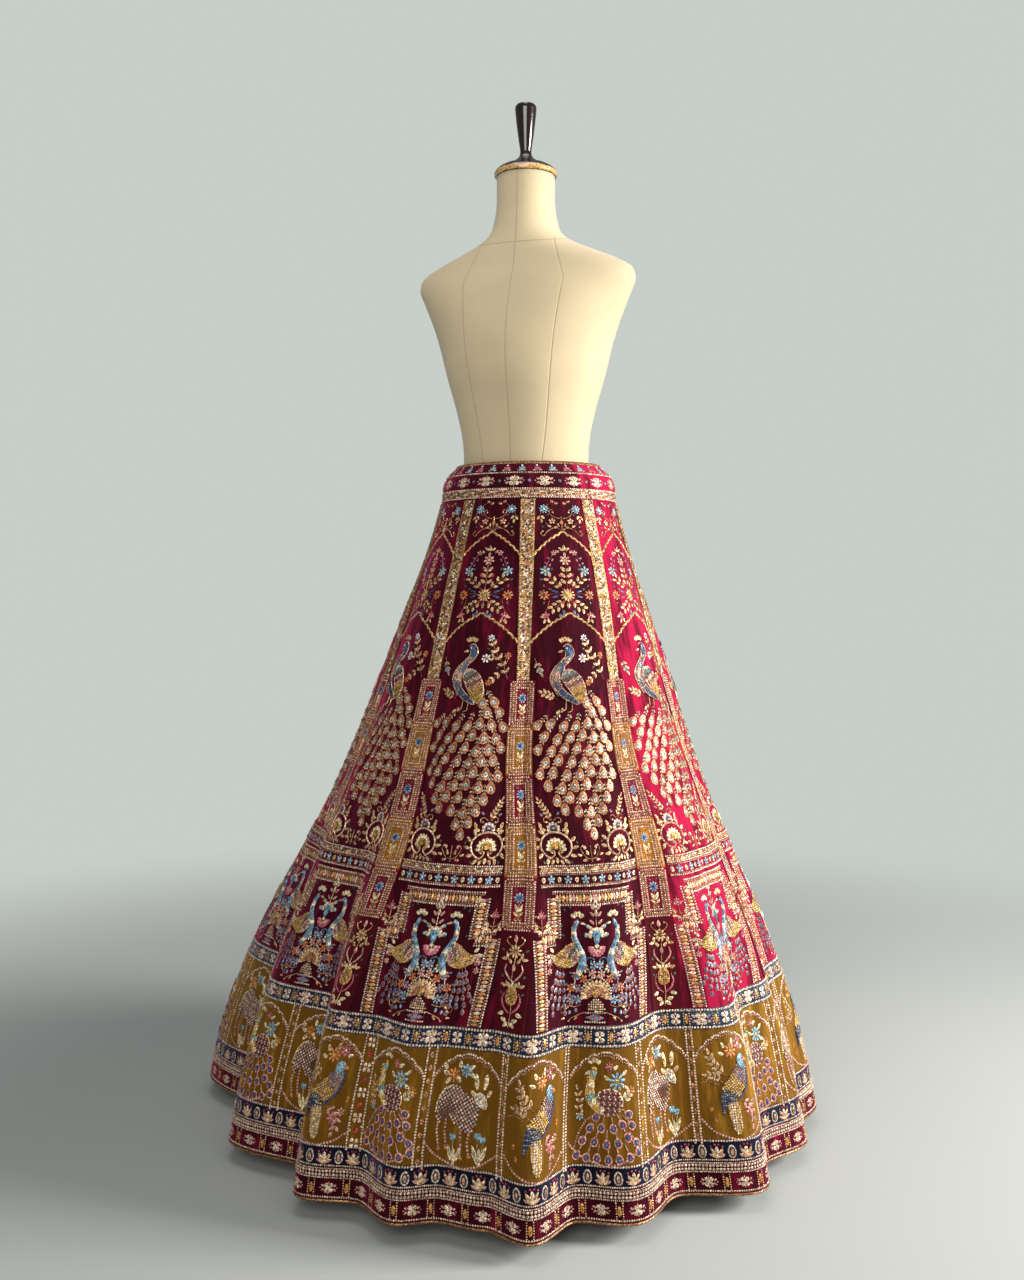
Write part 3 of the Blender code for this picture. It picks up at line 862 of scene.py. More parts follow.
def rope(path, width, first="pale_gold", second="gold"):
    """A twisted cord along a path: two threads by turns."""
    total = through(np.asarray(path, float)[:, :2], 2)[1]
    steps = int(2 * total / 0.0032) + 2
    wide = np.column_stack([np.asarray(path, float)[:, :2], np.full(len(path), width)])
    one, two = thread(first), thread(second)

    def turns(u, v):
        return np.where(((np.arange(steps)[:, None] + np.round(v)) % 2 > 0)[..., None], one, two)

    return stroke(wide, turns, steps=steps, lanes=4, rise=0.0014)


def leaf(at, turn, long=0.0088, wide=0.004, name="pale_gold"):
    """Outlined leaves: bright at the rim and dark inside."""
    return petals(at, long, wide, turn, thread(name), tip=0.3, sides=7, rim=1.05, core=0.45)


def spray(path, count=4, long=0.0082, wide=0.004, name="pale_gold", bloom=None, size=0.0065):
    """A thin stem with pairs of outlined leaves and a flower or leaf at its end."""
    path = np.asarray(path, float)
    line, _ = through(path, count + 2)
    ahead = np.gradient(line, axis=0)
    turn = np.degrees(np.arctan2(ahead[:, 0], ahead[:, 1]))
    shapes = [stroke(np.column_stack([path, np.full(len(path), 0.0009)]), "rose_gold", steps=4 * len(path),
                     rise=0.0006)]
    for side in (-1, 1):
        a = turn[1:-1] + side * 46
        way = np.column_stack([np.sin(np.radians(a)), np.cos(np.radians(a))])
        shapes.append(leaf(line[1:-1] + way * long * 0.55, a, long, wide, name))
    if bloom:
        shapes.append(daisy(*line[-1], size, *bloom))
    else:
        a = math.radians(turn[-1])
        shapes.append(leaf([line[-1] + np.array([math.sin(a), math.cos(a)]) * long * 0.4], turn[-1], long,
                           wide, name))
    return joined(*shapes)


def daisy(x, y, radius, outer, inner, heart, count=7, turn=0.0):
    """A flower of petals in two threads round a raised heart."""
    angles = turn + np.arange(count) * 360.0 / count
    a = np.radians(angles)
    at = np.column_stack([x + np.sin(a) * radius * 0.63, y + np.cos(a) * radius * 0.63])
    wide = min(0.95, 2.9 / count) * radius
    return joined(
        petals(at, radius * 0.78, wide, angles, outer, tip=-0.2, sides=7, rim=0.9),
        petals(at, radius * 0.42, wide * 0.42, angles, inner, lift=0.0005, rise=0.0005, sides=5),
        petals([[x, y]], radius * 0.5, radius * 0.5, 0, heart, rise=0.0012, lift=0.0004, sides=8),
    )


def shell_fan(x, y, radius, names, count=7, spread=180.0, turn=0.0):
    """Half a flower: rows of petals fanned over a heart, one thread to a row from the rim inwards."""
    shapes = []
    for row, name in enumerate(names[:-1]):
        reach = radius * (1.0 - 0.36 * row)
        angles = turn + np.linspace(-spread / 2, spread / 2, count)
        a = np.radians(angles)
        at = np.column_stack([x + np.sin(a) * reach * 0.7, y + np.cos(a) * reach * 0.7])
        shapes.append(petals(at, reach * 0.62, reach * 2.9 / count, angles, thread(name), tip=-0.25,
                             sides=7,
                             lift=0.0004 * row, rim=0.85))
    heart = petals([[x, y + radius * 0.08]], radius * 0.42, radius * 0.5, turn, names[-1], rise=0.0012,
                   lift=0.001)
    return joined(*shapes, heart)


def plume(x, y, high, names=("orange", "red", "pale_gold")):
    """An upright plume: two pairs of strokes that curl outwards, under a fan of three petals and a bud."""
    tall = high / 20.0
    shapes = []
    for low, reach, top, wide in ((0.0, 9.0, 9.0, 2.6), (5.0, 7.0, 7.0, 2.2), (9.0, 4.2, 5.5, 1.8)):
        path = mm((0, low, 1.0), (reach * 0.55, low + top * 0.35, wide),
                  (reach, low + top * 0.75, wide * 0.8),
                  (reach * 0.92, low + top, 0.8)) * (tall, tall, tall)
        shapes.append(both_sides(stroke(path, names[1], steps=8)))
    shapes.append(petals(mm((0, 15.4), (-3.2, 14), (3.2, 14)) * tall, 0.0085 * tall, 0.0034 * tall,
                         [0, -36, 36],
                         names[0], tip=0.3, sides=7))
    shapes.append(petals(mm((0, 19.5)) * tall, 0.005 * tall, 0.0034 * tall, 0, names[2], sides=6, rim=1.0,
                         core=0.7))
    shapes.append(stroke(mm((0, -2, 1.2), (0, 12, 1.0)) * tall, names[2], steps=4))
    return moved(joined(*shapes), x, y)


def scroll(points, width=1.3):
    """A scroll of cord through points in millimetres, with a bead at its inner end."""
    path = mm(*[(*p, width) for p in points])
    return joined(stroke(path, "pale_gold", steps=4 * len(points), rise=0.0009),
                  petals(path[-1:, :2], 0.003, 0.003, 0, "pale_gold", sides=6, rise=0.0012))


def fountain_motif():
    """The plant over the first arch, between two blue flowers that hang from the waist seam."""
    side = joined(
        scroll([(0, 964), (7, 969), (15, 968), (22, 963), (27, 957), (31, 960), (28, 964)], width=1.1),
        scroll([(2, 984), (10, 986), (15, 990), (17, 996), (13, 998), (12, 994)], width=1.1),
        stroke(mm((0, 966, 0.8), (6, 973, 0.8), (12, 977, 0.7)), "rose_gold", steps=6),
        daisy(0.0135, 0.98, 0.0048, "pale_gold", "cream", "pink", 5),
        daisy(0.0235, 0.999, 0.007, "pale_blue", "slate", "white", 9),
        stroke(mm((3, 1010, 0.9), (9, 1010, 0.9), (16, 1008, 0.9), (20, 1004, 0.8)), "rose_gold", steps=7),
        stroke(mm((28, 995, 0.8), (30, 989, 0.8), (29, 984, 0.7)), "rose_gold", steps=5),
        leaf(mm((28.5, 980), (32, 985), (26, 986)), [180, 140, -140], 0.0068, 0.0038),
        leaf(mm((6, 1008), (12, 1011)), [100, 60], 0.0058, 0.0028),
        leaf(mm((9, 970), (18, 972), (5, 974)), [110, 60, 10], 0.006, 0.003),
        petals(mm((22, 976), (27, 971), (19, 990)), 0.0044, 0.0024, [20, 60, -30], "green", sides=6),
    )
    return joined(
        stroke(mm((0, 963, 1.1), (0, 975, 1.1), (0, 988, 1.0)), "pale_gold", steps=5),
        plume(0.0, 0.9845, 0.0215),
        petals(mm((0, 978)), 0.0074, 0.005, 0, "orange", tip=0.3, rim=1.0, core=0.6),
        both_sides(side),
    )


def flowering_bush():
    """The bush under the first arch: a round gold flower and airy branches that end in paler ones."""
    side = joined(
        stroke(mm((8, 865, 1.0), (18, 867, 0.9), (28, 866, 0.8)), "rose_gold", steps=6),
        daisy(0.034, 0.865, 0.0078, "orange", "blush", "plum", 8),
        petals(mm((18, 870.5), (18, 862.5)), 0.0105, 0.003, [74, 106], "blue", sides=6, rim=1.0, core=0.6),
        stroke(mm((5, 872, 1.0), (13, 881, 0.9), (22, 889, 0.9), (28, 897, 0.8)), "rose_gold", steps=8),
        leaf(mm((10, 882), (15, 878), (17, 890), (22, 884), (24, 896), (29, 889)), [8, 82, 4, 84, 0, 80],
             0.008, 0.0042),
        daisy(0.0295, 0.902, 0.0076, "pale_blue", "cream", "yellow", 6),
        stroke(mm((28, 907, 0.8), (23, 918, 0.8), (17, 928, 0.7)), "lilac", steps=6),
        daisy(0.0155, 0.93, 0.0042, "blush", "cream", "pink", 5),
        petals(mm((27, 914), (22, 911), (24, 922), (18, 919)), 0.0052, 0.0026, [60, -30, 60, -30], "pink",
               sides=6),
        leaf(mm((10, 932)), [50], 0.006, 0.0034, "blush"),
        stroke(mm((5, 858, 1.0), (12, 851, 0.9), (21, 845, 0.8)), "rose_gold", steps=6),
        leaf(mm((9, 849), (14, 855), (15, 843), (21, 851), (23, 840), (27, 846)),
             [176, 90, 172, 86, 166, 96], 0.0082, 0.0044),
        stroke(mm((27, 858, 0.8), (30, 848, 0.8), (33, 840, 0.7)), "rose_gold", steps=5),
        daisy(0.0335, 0.834, 0.0056, "pink", "orange", "yellow", 5),
        leaf(mm((36, 825), (30, 826), (39, 832)), [150, 190, 110], 0.0072, 0.0038),
        petals(mm((8, 838), (13, 833)), 0.0078, 0.0036, [180, 172], "slate", tip=0.4, sides=7, rim=1.0,
               core=0.7),
        petals(mm((35, 853), (39, 868), (33, 879), (36, 889), (20, 905), (25, 874)), 0.005, 0.003,
               [150, 60, 20, 70, -20, 60],
               "green", sides=6),
        petals(mm((9, 895), (8, 853)), 0.0064, 0.0036, [30, 150], "red", tip=0.3, sides=6),
    )
    return joined(
        stroke(mm((0, 846, 1.0), (0, 880, 1.1), (0, 914, 1.0), (0, 934, 0.8)), "rose_gold", steps=10),
        both_sides(side),
        both_sides(leaf(mm((5, 886), (5, 895.5), (4.5, 905)), [48, 46, 40], 0.0094, 0.0048)),
        leaf(mm((0, 849), (0, 938)), [180, 0], 0.0088, 0.0046),
        both_sides(leaf(mm((4.8, 936)), [54], 0.008, 0.0038)),
        daisy(0.0, 0.865, 0.0106, "pale_gold", "gold", "yellow", 12),
        petals(mm((0, 865)), 0.0088, 0.0088, 0, "yellow", rise=0.0016, lift=0.0006),
        daisy(0.0, 0.919, 0.0082, "blush", "cream", "yellow", 7),
        leaf(mm((0, 928.5)), [0], 0.0062, 0.004, "blush"),
    )


def big_peacock():
    """The peacock of a panel, turned to the left: a beaded neck, a striped blue wing and a gold back."""
    neck = mm((-3, 44, 8), (1, 38, 9), (-3, 28, 8), (-12, 18, 9), (-20, 8, 13), (-22, -5, 16),
              (-15, -20, 9))
    body = mm((-10, 12), (2, 13), (14, 4), (21, -10), (22, -25), (15, -36), (8, -31), (-4, -14), (-12, 0))
    wing = mm((-27, -1), (-20, -5), (-8, -19), (4, -29), (11, -38), (0, -35), (-13, -27), (-23, -14))
    crest = np.array([-40.0, -20.0, 0.0, 20.0, 40.0])
    a = np.radians(crest)
    crest_at = np.column_stack([-0.0045 + np.sin(a) * 0.0105, 0.048 + np.cos(a) * 0.0105])
    right = joined(
        spray(mm((56, -2), (46, 20), (33, 40), (24, 60)), 5, 0.0084, 0.0044,
              bloom=("white", "pale_blue", "slate"), size=0.0054),
        spray(mm((43, 27), (31, 31), (20, 30)), 1, 0.007, 0.0036, bloom=("white", "blush", "pink"),
              size=0.0068),
        spray(mm((49, 13), (38, 4), (28, -6)), 2, 0.0074, 0.0038, bloom=("orange", "yellow", "pink"),
              size=0.005),
        spray(mm((48, 17), (52, 27), (51, 34)), 0, bloom=("orange", "yellow", "pink"), size=0.0052),
        petals(mm((38, 16), (54, 12), (22, 44)), 0.005, 0.003, [60, 10, 120], "green", sides=6),
    )
    left = joined(
        spray(mm((-50, 30), (-46, 18), (-42, 8)), 2, 0.0072, 0.0036),
        daisy(-0.044, 0.012, 0.005, "pale_blue", "white", "slate", 6),
        spray(mm((-20, -30), (-30, -25), (-42, -20)), 3, 0.008, 0.004),
        leaf(mm((-14, -46), (-20, -48)), [200, 240], 0.007, 0.0034),
    )
    bird = joined(
        stroke(neck, banded("blue", "blue", "rose_gold", "blue", "slate", "blush", "rose_gold", "plum",
                            "rose_gold", share=0.7),
               steps=30, lanes=5, rise=0.0022),
        beaded(mm((-6, 32), (1, 30), (-8, 20), (-16, 10), (-14, -4), (-14, -20), (-24, -16), (-28, -2),
                  (-24, 12), (-14, 24)),
               0.0027, 0.0025, ("bead", "pale_gold", "blush"), turn=25, lift=0.0018),
        beaded(mm((-7, 46), (-1, 49), (4, 44), (5, 36), (0, 33), (-4, 38)), 0.0024, 0.0023,
               ("blue", "slate"), lift=0.0018),
        beaded(mm((-9, 26), (-4, 27), (-10, 18), (-14, 19)), 0.0024, 0.0022, ("blue",), lift=0.0024),
        rope(mm((-8, 47), (-2, 51), (5, 46), (7, 37), (2, 28), (-7, 19), (-9, 12)), 0.0015, "bead",
             "pale_gold"),
        rope(mm((-5, 40), (-6, 33), (-12, 26), (-22, 16), (-29, 4), (-28, -8), (-18, -26)), 0.0015, "bead",
             "pale_gold"),
        patch(body, "gold", 0.75, 0.0016),
        beaded(body, 0.0028, 0.0026, ("gold", "yellow", "gold", "yellow", "blush", "plum", "bead", "plum",
                                      "turquoise", "bead"),
               turn=40, bands=-28, lift=0.0012),
        rope(np.vstack([body, body[:1]]), 0.0016, "bead", "pale_gold"),
        patch(wing, "ink", 1.0, 0.003),
        beaded(wing, 0.0026, 0.0028, ("blue", "ink", "slate", "ink") * 4, bands=-50, lift=0.0024),
        moved(rope(np.vstack([wing, wing[:1]]), 0.0013, "pale_gold", "bead"), lift=0.0014),
        petals(crest_at, 0.0078, 0.0042, crest, "pale_gold", tip=-0.3, sides=7),
        petals(mm((-12, 40)), 0.009, 0.0034, -104, "pale_gold", tip=0.5, rise=0.0012),
        petals(mm((-3.5, 44)), 0.003, 0.003, 0, "white", rise=0.0008, lift=0.003, sides=6),
        stroke(mm((-6, -26, 1.6), (-8, -36, 1.4), (-9, -45, 1.4), (-15, -47, 1.2)), "pale_gold", steps=8),
        stroke(mm((1, -32, 1.6), (1, -40, 1.4), (0, -47, 1.4), (-6, -49, 1.2)), "pale_gold", steps=8),
    )
    return moved(joined(right, left, bird), -0.004, 0.74)


def feather_eyes(at, turn, size=1.0):
    """Tail feathers' ends: an outlined drop with rays at its rim and a pale ringed eye, on a leafy
    stalk."""
    ahead = np.column_stack([np.sin(np.radians(turn)), np.cos(np.radians(turn))])
    side = np.column_stack([ahead[:, 1], -ahead[:, 0]])
    eye = at + ahead * 0.0012 * size
    shapes = [
        petals(at - ahead * 0.0004, 0.0206 * size, 0.014 * size, turn, "bronze", tip=-0.26, rise=0.001,
               sides=10,
               rim=2.0, core=0.7),
        petals(eye, 0.008 * size, 0.007 * size, turn, "bead", rise=0.0005, lift=0.0008, rim=1.0, core=0.8),
        petals(eye, 0.005 * size, 0.0044 * size, turn, thread("turquoise", 1.5), rise=0.0005, lift=0.0013,
               rim=1.0),
        petals(eye, 0.0022 * size, 0.002 * size, turn, "ink", rise=0.0003, lift=0.0018, sides=5),
        petals(at - ahead * 0.0165 * size, 0.017 * size, 0.0012 * size, turn, thread("pale_gold", 0.8),
               sides=5),
    ]
    for swing in (-70, -35, 0, 35, 70):
        ray = turn + swing
        way = np.column_stack([np.sin(np.radians(ray)), np.cos(np.radians(ray))])
        shapes.append(petals(eye + way * 0.0066 * size, 0.0046 * size, 0.0015 * size, ray, "pale_gold",
                             sides=5,
                             lift=0.0003))
    for back in (0.013, 0.019):
        for way in (-1, 1):
            at_leaf = at - ahead * back * size + side * way * 0.0026 * size
            shapes.append(petals(at_leaf, 0.005 * size, 0.002 * size, turn + way * 38, "bead", sides=5))
    return joined(*shapes)


def peacock_tail():
    """The tail that fills a panel: feather ends in staggered rows, each turned away from the root and
    drawn a
    little aside by a slow wave, kept where the tail is as wide as the panel and, lower down, comes to a
    point."""
    rows = np.arange(0.707, 0.515, -0.0172)
    points = []
    for k, z in enumerate(rows):
        across = np.arange(-5, 6) * 0.0186 + (0.0093 if k % 2 else 0.0)
        points.append(np.column_stack([across, np.full(len(across), z)]))
    at = np.vstack(points)
    half = np.interp(at[:, 1], [0.512, 0.545, 0.6, 0.65, 0.71], [0.004, 0.032, 0.06, 0.059, 0.054])
    lean = np.interp(at[:, 1], [0.51, 0.6, 0.706], [0.012, 0.002, 0.0])
    under_bird = (at[:, 1] > 0.688) & (at[:, 0] < 0.014)
    at = at[(np.abs(at[:, 0] - lean) < half) & ~under_bird]
    wave = np.sin(at[:, 0] * 310.0 + at[:, 1] * 170.0)
    at = at + np.column_stack([0.0022 * wave, 0.0026 * np.cos(at[:, 0] * 240.0 - at[:, 1] * 90.0)])
    turn = np.degrees(np.arctan2(*(at - np.array([0.012, 0.74])).T)) + 9.0 * wave
    return feather_eyes(at, turn, 0.9)


def wreaths():
    """Two wreathed shells at the foot of the tail, each under a plume, with a small red plant between."""
    t = np.linspace(np.radians(-158), np.radians(158), 21)
    arc = np.column_stack([0.0225 * np.sin(t), 0.0185 * np.cos(t), np.full(21, 0.0026)])
    fringe = np.linspace(-150, 150, 12)
    a = np.radians(fringe)
    around_ring = np.column_stack([np.sin(a) * 0.0285, np.cos(a) * 0.0245])
    curl_in = joined(stroke(mm((9, -17, 2.4), (4, -13, 2.2), (3, -8, 2.0), (7, -6, 1.8), (9, -9, 1.6)),
                            "pale_gold", 12, rise=0.0012),
                     petals(mm((6.5, -9.5)), 0.003, 0.003, 0, "pale_gold", sides=6, lift=0.0004))
    wreath = joined(
        stroke(arc, banded(*("bead", "pale_gold") * 16), steps=32, rise=0.0014),
        leaf(around_ring, fringe + 20, 0.0094, 0.0046),
        both_sides(curl_in),
        shell_fan(0.0, -0.0035, 0.015, ("cream", "gold", "yellow"), 9, 190.0),
        leaf(mm((0, -20)), [180], 0.0085, 0.005),
        both_sides(leaf(mm((7, -22)), [150], 0.0078, 0.004)),
        petals(mm((-20, -22), (20, -22), (-31, 4), (31, 4)), 0.0052, 0.0026, 20, "green", sides=6),
        shell_fan(0.0, 0.0225, 0.01, ("bead", "blue", "gold"), 7, 200.0),
        both_sides(scroll([(2, 34), (7, 38), (12, 37), (12, 32), (9, 32)], width=1.1)),
        both_sides(leaf(mm((16, 22), (19, 28)), [70, 20], 0.0088, 0.0046)),
        petals(mm((-10, 44), (15, 42)), 0.006, 0.0036, [-40, 50], "lilac", tip=0.3, sides=7),
        spray(mm((0, 34), (6, 44), (11, 52), (16, 62)), 5, 0.0062, 0.003),
    )
    plant = joined(
        stroke(mm((0, -18, 1.1), (0, 4, 1.0)), "pale_gold", steps=5),
        plume(0.0, 0.0, 0.023, ("orange", "red", "cream")),
        both_sides(joined(
            scroll([(0, -14), (7, -12), (12, -6), (15, 1), (12, 4)], width=1.0),
            leaf(mm((6, -5), (17, -8), (10, -15)), [20, 70, 100], 0.007, 0.0036),
            petals(mm((9, 2)), 0.0058, 0.0044, 10, "blush", tip=0.2),
        )),
    )
    place = 0.506
    return joined(moved(wreath, -0.05, place, flip=True), moved(wreath, 0.051, place),
                  moved(plant, 0.0, 0.501))


def ladder(path):
    """A gold ladder along a path of corners: ovals for rungs, close together, between double rails of
    beads."""
    shapes, width = [], 0.0192
    names = ("blush", "pale_gold", "gold", "pale_gold", "orange", "cream")
    for (x0, y0), (x1, y1) in zip(path, path[1:]):
        length = math.hypot(x1 - x0, y1 - y0)
        ahead = np.array([x1 - x0, y1 - y0]) / length
        side = np.array([ahead[1], -ahead[0]])
        turn = math.degrees(math.atan2(ahead[0], ahead[1]))
        steps = np.arange(0.0016, length - 0.001, 0.0048)[:, None]
        rungs = np.array([x0, y0]) + ahead * steps
        tones = np.array([thread(n) for n in names])[np.arange(len(steps)) * 5 % 6]
        shapes.append(petals(rungs, width * 0.52, 0.0043, turn + 90, tones, rise=0.0013, sides=8, rim=1.0,
                             core=0.7))
        for way in (-1, 1):
            for reach, size, name in ((0.32, 0.0028, "rose_gold"), (0.46, 0.0031, "bead")):
                rail = [np.array((x, y)) + side * way * width * reach for x, y in ((x0, y0), (x1, y1))]
                shapes.append(beads(rail, size * 1.1, size, thread(name)))
    return joined(*shapes)


def small_peacock():
    """The right-hand peacock of the lower frame, turned inwards: a long slate neck that curves out and in,
    a gold back behind it, and a tail of small eyes that falls outwards."""
    fan = []
    for row, (reach, count) in enumerate(((0.018, 3), (0.028, 4), (0.038, 4), (0.048, 5), (0.058, 5),
                                          (0.067, 5))):
        angles = np.linspace(148.0 + 3.0 * (row % 2), 200.0 if row > 2 else 188.0, count)
        a = np.radians(angles)
        fan.append(np.column_stack([0.05 + reach * np.sin(a) * 0.8, 0.356 + reach * np.cos(a)]))
    tail_at = np.vstack(fan)
    tail_at = tail_at[(tail_at[:, 1] > 0.2895) & (tail_at[:, 0] > 0.032) & (tail_at[:, 0] < 0.0755)]
    turn = np.degrees(np.arctan2(*(tail_at - np.array([0.046, 0.372])).T))
    ahead = np.column_stack([np.sin(np.radians(turn)), np.cos(np.radians(turn))])
    body = mm((26, 379), (38, 377), (50, 369), (60, 364), (71, 366), (66, 358), (58, 350), (44, 346),
              (30, 350), (24, 362))
    wing = mm((27, 377), (36, 376), (42, 368), (41, 358), (33, 353), (27, 358))
    crest = np.array([-54.0, -18.0, 18.0, 54.0])
    a = np.radians(crest)
    return joined(
        petals(tail_at - ahead * 0.007, 0.011, 0.001, turn, "rose_gold", sides=5),
        petals(tail_at, 0.008, 0.006, turn, thread("rose_gold", 0.9), tip=-0.2, sides=8, rim=1.1, core=0.6),
        petals(tail_at, 0.0052, 0.0042, turn, "blue", lift=0.0006, rise=0.0006, sides=7),
        patch(body, "gold", 0.8, 0.0018),
        beaded(body, 0.0028, 0.0027, ("cream", "yellow", "pale_gold", "yellow", "cream"), turn=20, bands=70,
               lift=0.0012),
        patch(wing, "plum", 1.2, 0.0028),
        beaded(wing, 0.0026, 0.0026, ("pink", "pink", "bead", "green", "green", "bead", "pink"), bands=60,
               lift=0.002),
        rope(np.vstack([wing, wing[:1]]), 0.0014, "bead", "pale_gold"),
        stroke(mm((24, 406, 5), (28, 404, 6), (31, 396, 6), (31, 385, 7), (26, 374, 8), (21, 363, 10),
                  (20, 352, 11), (24, 342, 9),
                  (29, 332, 4)), banded(*("slate", "pale_blue", "slate", "slate", "pale_blue", "cream",
                                          "slate", "slate") * 3),
               steps=34, lanes=5, rise=0.0026),
        rope(mm((34, 399), (34.5, 385), (30, 374)), 0.0014, "bead", "pale_gold"),
        petals(np.column_stack([0.0262 + np.sin(a) * 0.0072, 0.409 + np.cos(a) * 0.0066]), 0.0078, 0.0052,
               crest,
               "cream", tip=-0.3, rise=0.0014),
        petals(mm((18.5, 403)), 0.009, 0.0032, -106, "pale_gold", tip=0.5),
        petals(mm((26, 405)), 0.0024, 0.0024, 0, "white", lift=0.003, sides=6),
        leaf(mm((66, 371), (73, 364), (71, 357)), [50, 90, 130], 0.0085, 0.0044, "cream"),
        stroke(mm((29, 334, 1.6), (31, 322, 1.4), (28, 318, 1.1)), "bead", steps=5),
    )


def frame_pattern():
    """The stepped gold frame of a panel's foot, with two peacocks beside a flowering vase."""
    half = [(0.0, 0.436), (0.06, 0.436), (0.06, 0.385), (0.0865, 0.385), (0.0865, 0.2765)]
    border_half = joined(*[ladder([a, b]) for a, b in zip(half, half[1:])])
    corner = joined(
        stroke(mm((81, 397, 1.2), (81, 412, 1.1), (81, 424, 1.0)), "pale_gold", steps=6),
        plume(0.081, 0.421, 0.022, ("orange", "red", "cream")),
        daisy(0.081, 0.416, 0.0056, "pink", "blush", "cream", 8),
        both_x(0.081, joined(
            scroll([(0, 400), (6, 403), (11, 410), (9, 416), (5, 414)], width=1.1),
            leaf(mm((5, 396), (9, 403), (12, 398)), [60, 20, 80], 0.0085, 0.0042),
            petals(mm((13, 406)), 0.0044, 0.0026, 30, "green", sides=6),
        )),
    )
    names = (("blush", "cream", "yellow"), ("pale_blue", "white", "pink"), ("orange", "yellow", "pink"),
             ("cream", "blush", "red"),
             ("lilac", "pink", "yellow"))
    flowers = []
    for row, (reach, angles) in enumerate(((0.0265, (14, 44, 74, 104)), (0.0365, (6, 28, 52, 78, 100)))):
        for k, angle in enumerate(angles):
            bearing = math.radians(angle)
            x, y = math.sin(bearing) * reach, 0.313 + math.cos(bearing) * reach * 1.02
            flowers.append(daisy(x, y, 0.006, *names[(k * 2 + row) % 5], 6, turn=17.0 * k))
            flowers.append(petals([[x * 1.1 + 0.004, y + 0.004]], 0.0064, 0.0028, 40.0 * k,
                                  thread("turquoise", 0.6), tip=0.3,
                                  sides=6))
    side = joined(
        *flowers,
        stroke(mm((3, 357, 1.5), (10, 360, 1.5), (16, 356, 1.4), (19, 361, 1.2)), "slate", steps=8),
        leaf(mm((5, 424), (5.5, 415), (6, 405)), [40, 44, 48], 0.0082, 0.0036, "blush"),
        leaf(mm((8, 397), (11, 388)), [34, 50], 0.01, 0.0044),
        petals(mm((12, 399), (15, 388)), 0.0062, 0.0044, [20, 50], "pale_blue", tip=-0.2, sides=7),
        scroll([(20, 300), (31, 297), (42, 300), (50, 296), (48, 290), (43, 291)], width=1.1),
        scroll([(14, 291), (24, 287), (33, 283), (37, 279)], width=1.1),
        petals(mm((33, 303), (45, 305), (54, 301), (36, 290), (27, 293)), 0.0058, 0.0042, 0, "pale_blue",
               sides=7),
        leaf(mm((40, 296), (27, 283), (46, 283)), [120, 140, 90], 0.0064, 0.003),
    )
    vase = joined(
        both_sides(side),
        stroke(mm((0, 368, 1.4), (0, 400, 1.2), (0, 430, 1.0)), "pale_gold", steps=8),
        leaf(mm((0, 428)), [0], 0.011, 0.0064, "cream"),
        petals(mm((0, 428)), 0.0052, 0.0028, 0, "green", lift=0.0008, sides=6),
        leaf(mm((0, 417)), [0], 0.0085, 0.0044, "cream"),
        shell_fan(0.0, 0.387, 0.012, ("bead", "turquoise", "blue"), 7, 170.0),
        petals(mm((0, 384)), 0.015, 0.0088, 0, "slate", rise=0.0016, lift=0.001, rim=1.2),
        petals(mm((0, 384)), 0.008, 0.0042, 0, "pale_blue", rise=0.0008, lift=0.0022, sides=7),
        shell_fan(0.0, 0.373, 0.013, ("pink", "blush", "bead"), 9, 170.0, turn=180.0),
        shell_fan(0.0, 0.312, 0.0205, ("pale_gold", "rose_gold", "cream"), 13, 200.0),
        beads(mm((-20, 307), (-19, 321), (-9, 332), (0, 335), (9, 332), (19, 321), (20, 307)), 0.0034,
              0.003, "bead"),
        petals(mm((0, 316)), 0.012, 0.012, 0, "gold", rise=0.0016, lift=0.0014, sides=9),
        beaded(mm((-12, 292), (-10, 300), (0, 308), (10, 300), (12, 292)), 0.003, 0.0029,
               ("bead", "pale_gold"), lift=0.001),
        petals([[0.0, 0.284]], 0.0105, 0.027, 0, "slate", rise=0.0008, sides=4),
        beads(mm((-13, 290), (13, 290)), 0.003, 0.0028, "bead"),
        beads(mm((-13, 278.5), (13, 278.5)), 0.003, 0.0028, "bead"),
        petals(mm((-7, 284), (7, 284), (0, 284)), 0.0052, 0.0052, 0, "pink", lift=0.0006, sides=6),
    )
    edge = joined(
        daisy(0.07, 0.356, 0.006, "pink", "blush", "yellow", 8),
        daisy(0.071, 0.345, 0.0045, "blush", "cream", "yellow", 6),
        petals(mm((44, 421), (36, 424), (49, 400), (47, 388)), 0.0045, 0.0024, [20, 60, 0, 40], "green",
               sides=5),
    )
    return joined(border_half, moved(border_half, flip=True),
                  both_sides(joined(corner, small_peacock(), edge)), vase)


def glitter(at, size):
    """Sequins in mixed tones: each one's tone follows a fixed shuffle of its number. The white and pale
    tones and the umber ones are a painted glint and painted shade, gold sequins drawn as if each caught the
    light or lay turned from it.
    """
    names = ("pale_gold", "gold", "bead", "rose_gold", "umber", "gold", "white", "rose_gold", "pale_gold",
             "umber", "gold")
    tones = np.array([thread(n) for n in names])
    k = np.arange(len(at))
    picked = tones[(k * 7 + (k * k) // 5 + k // 11) % len(names)]
    return petals(at, size, size, 0, picked, rise=size * 0.24, sides=6, rim=0.8)


def sequin_field(half, low, high, pitch=0.0031):
    """A band of sequins in staggered rows."""
    rows = np.arange(low + pitch / 2, high, pitch * 0.9)
    across = np.arange(-half + pitch / 2, half, pitch)
    x, z = np.meshgrid(across, rows)
    x = x + np.where(np.arange(len(rows)) % 2 > 0, pitch / 2, 0.0)[:, None] - pitch / 4
    return glitter(np.column_stack([x.ravel(), z.ravel()]), pitch * 1.08)


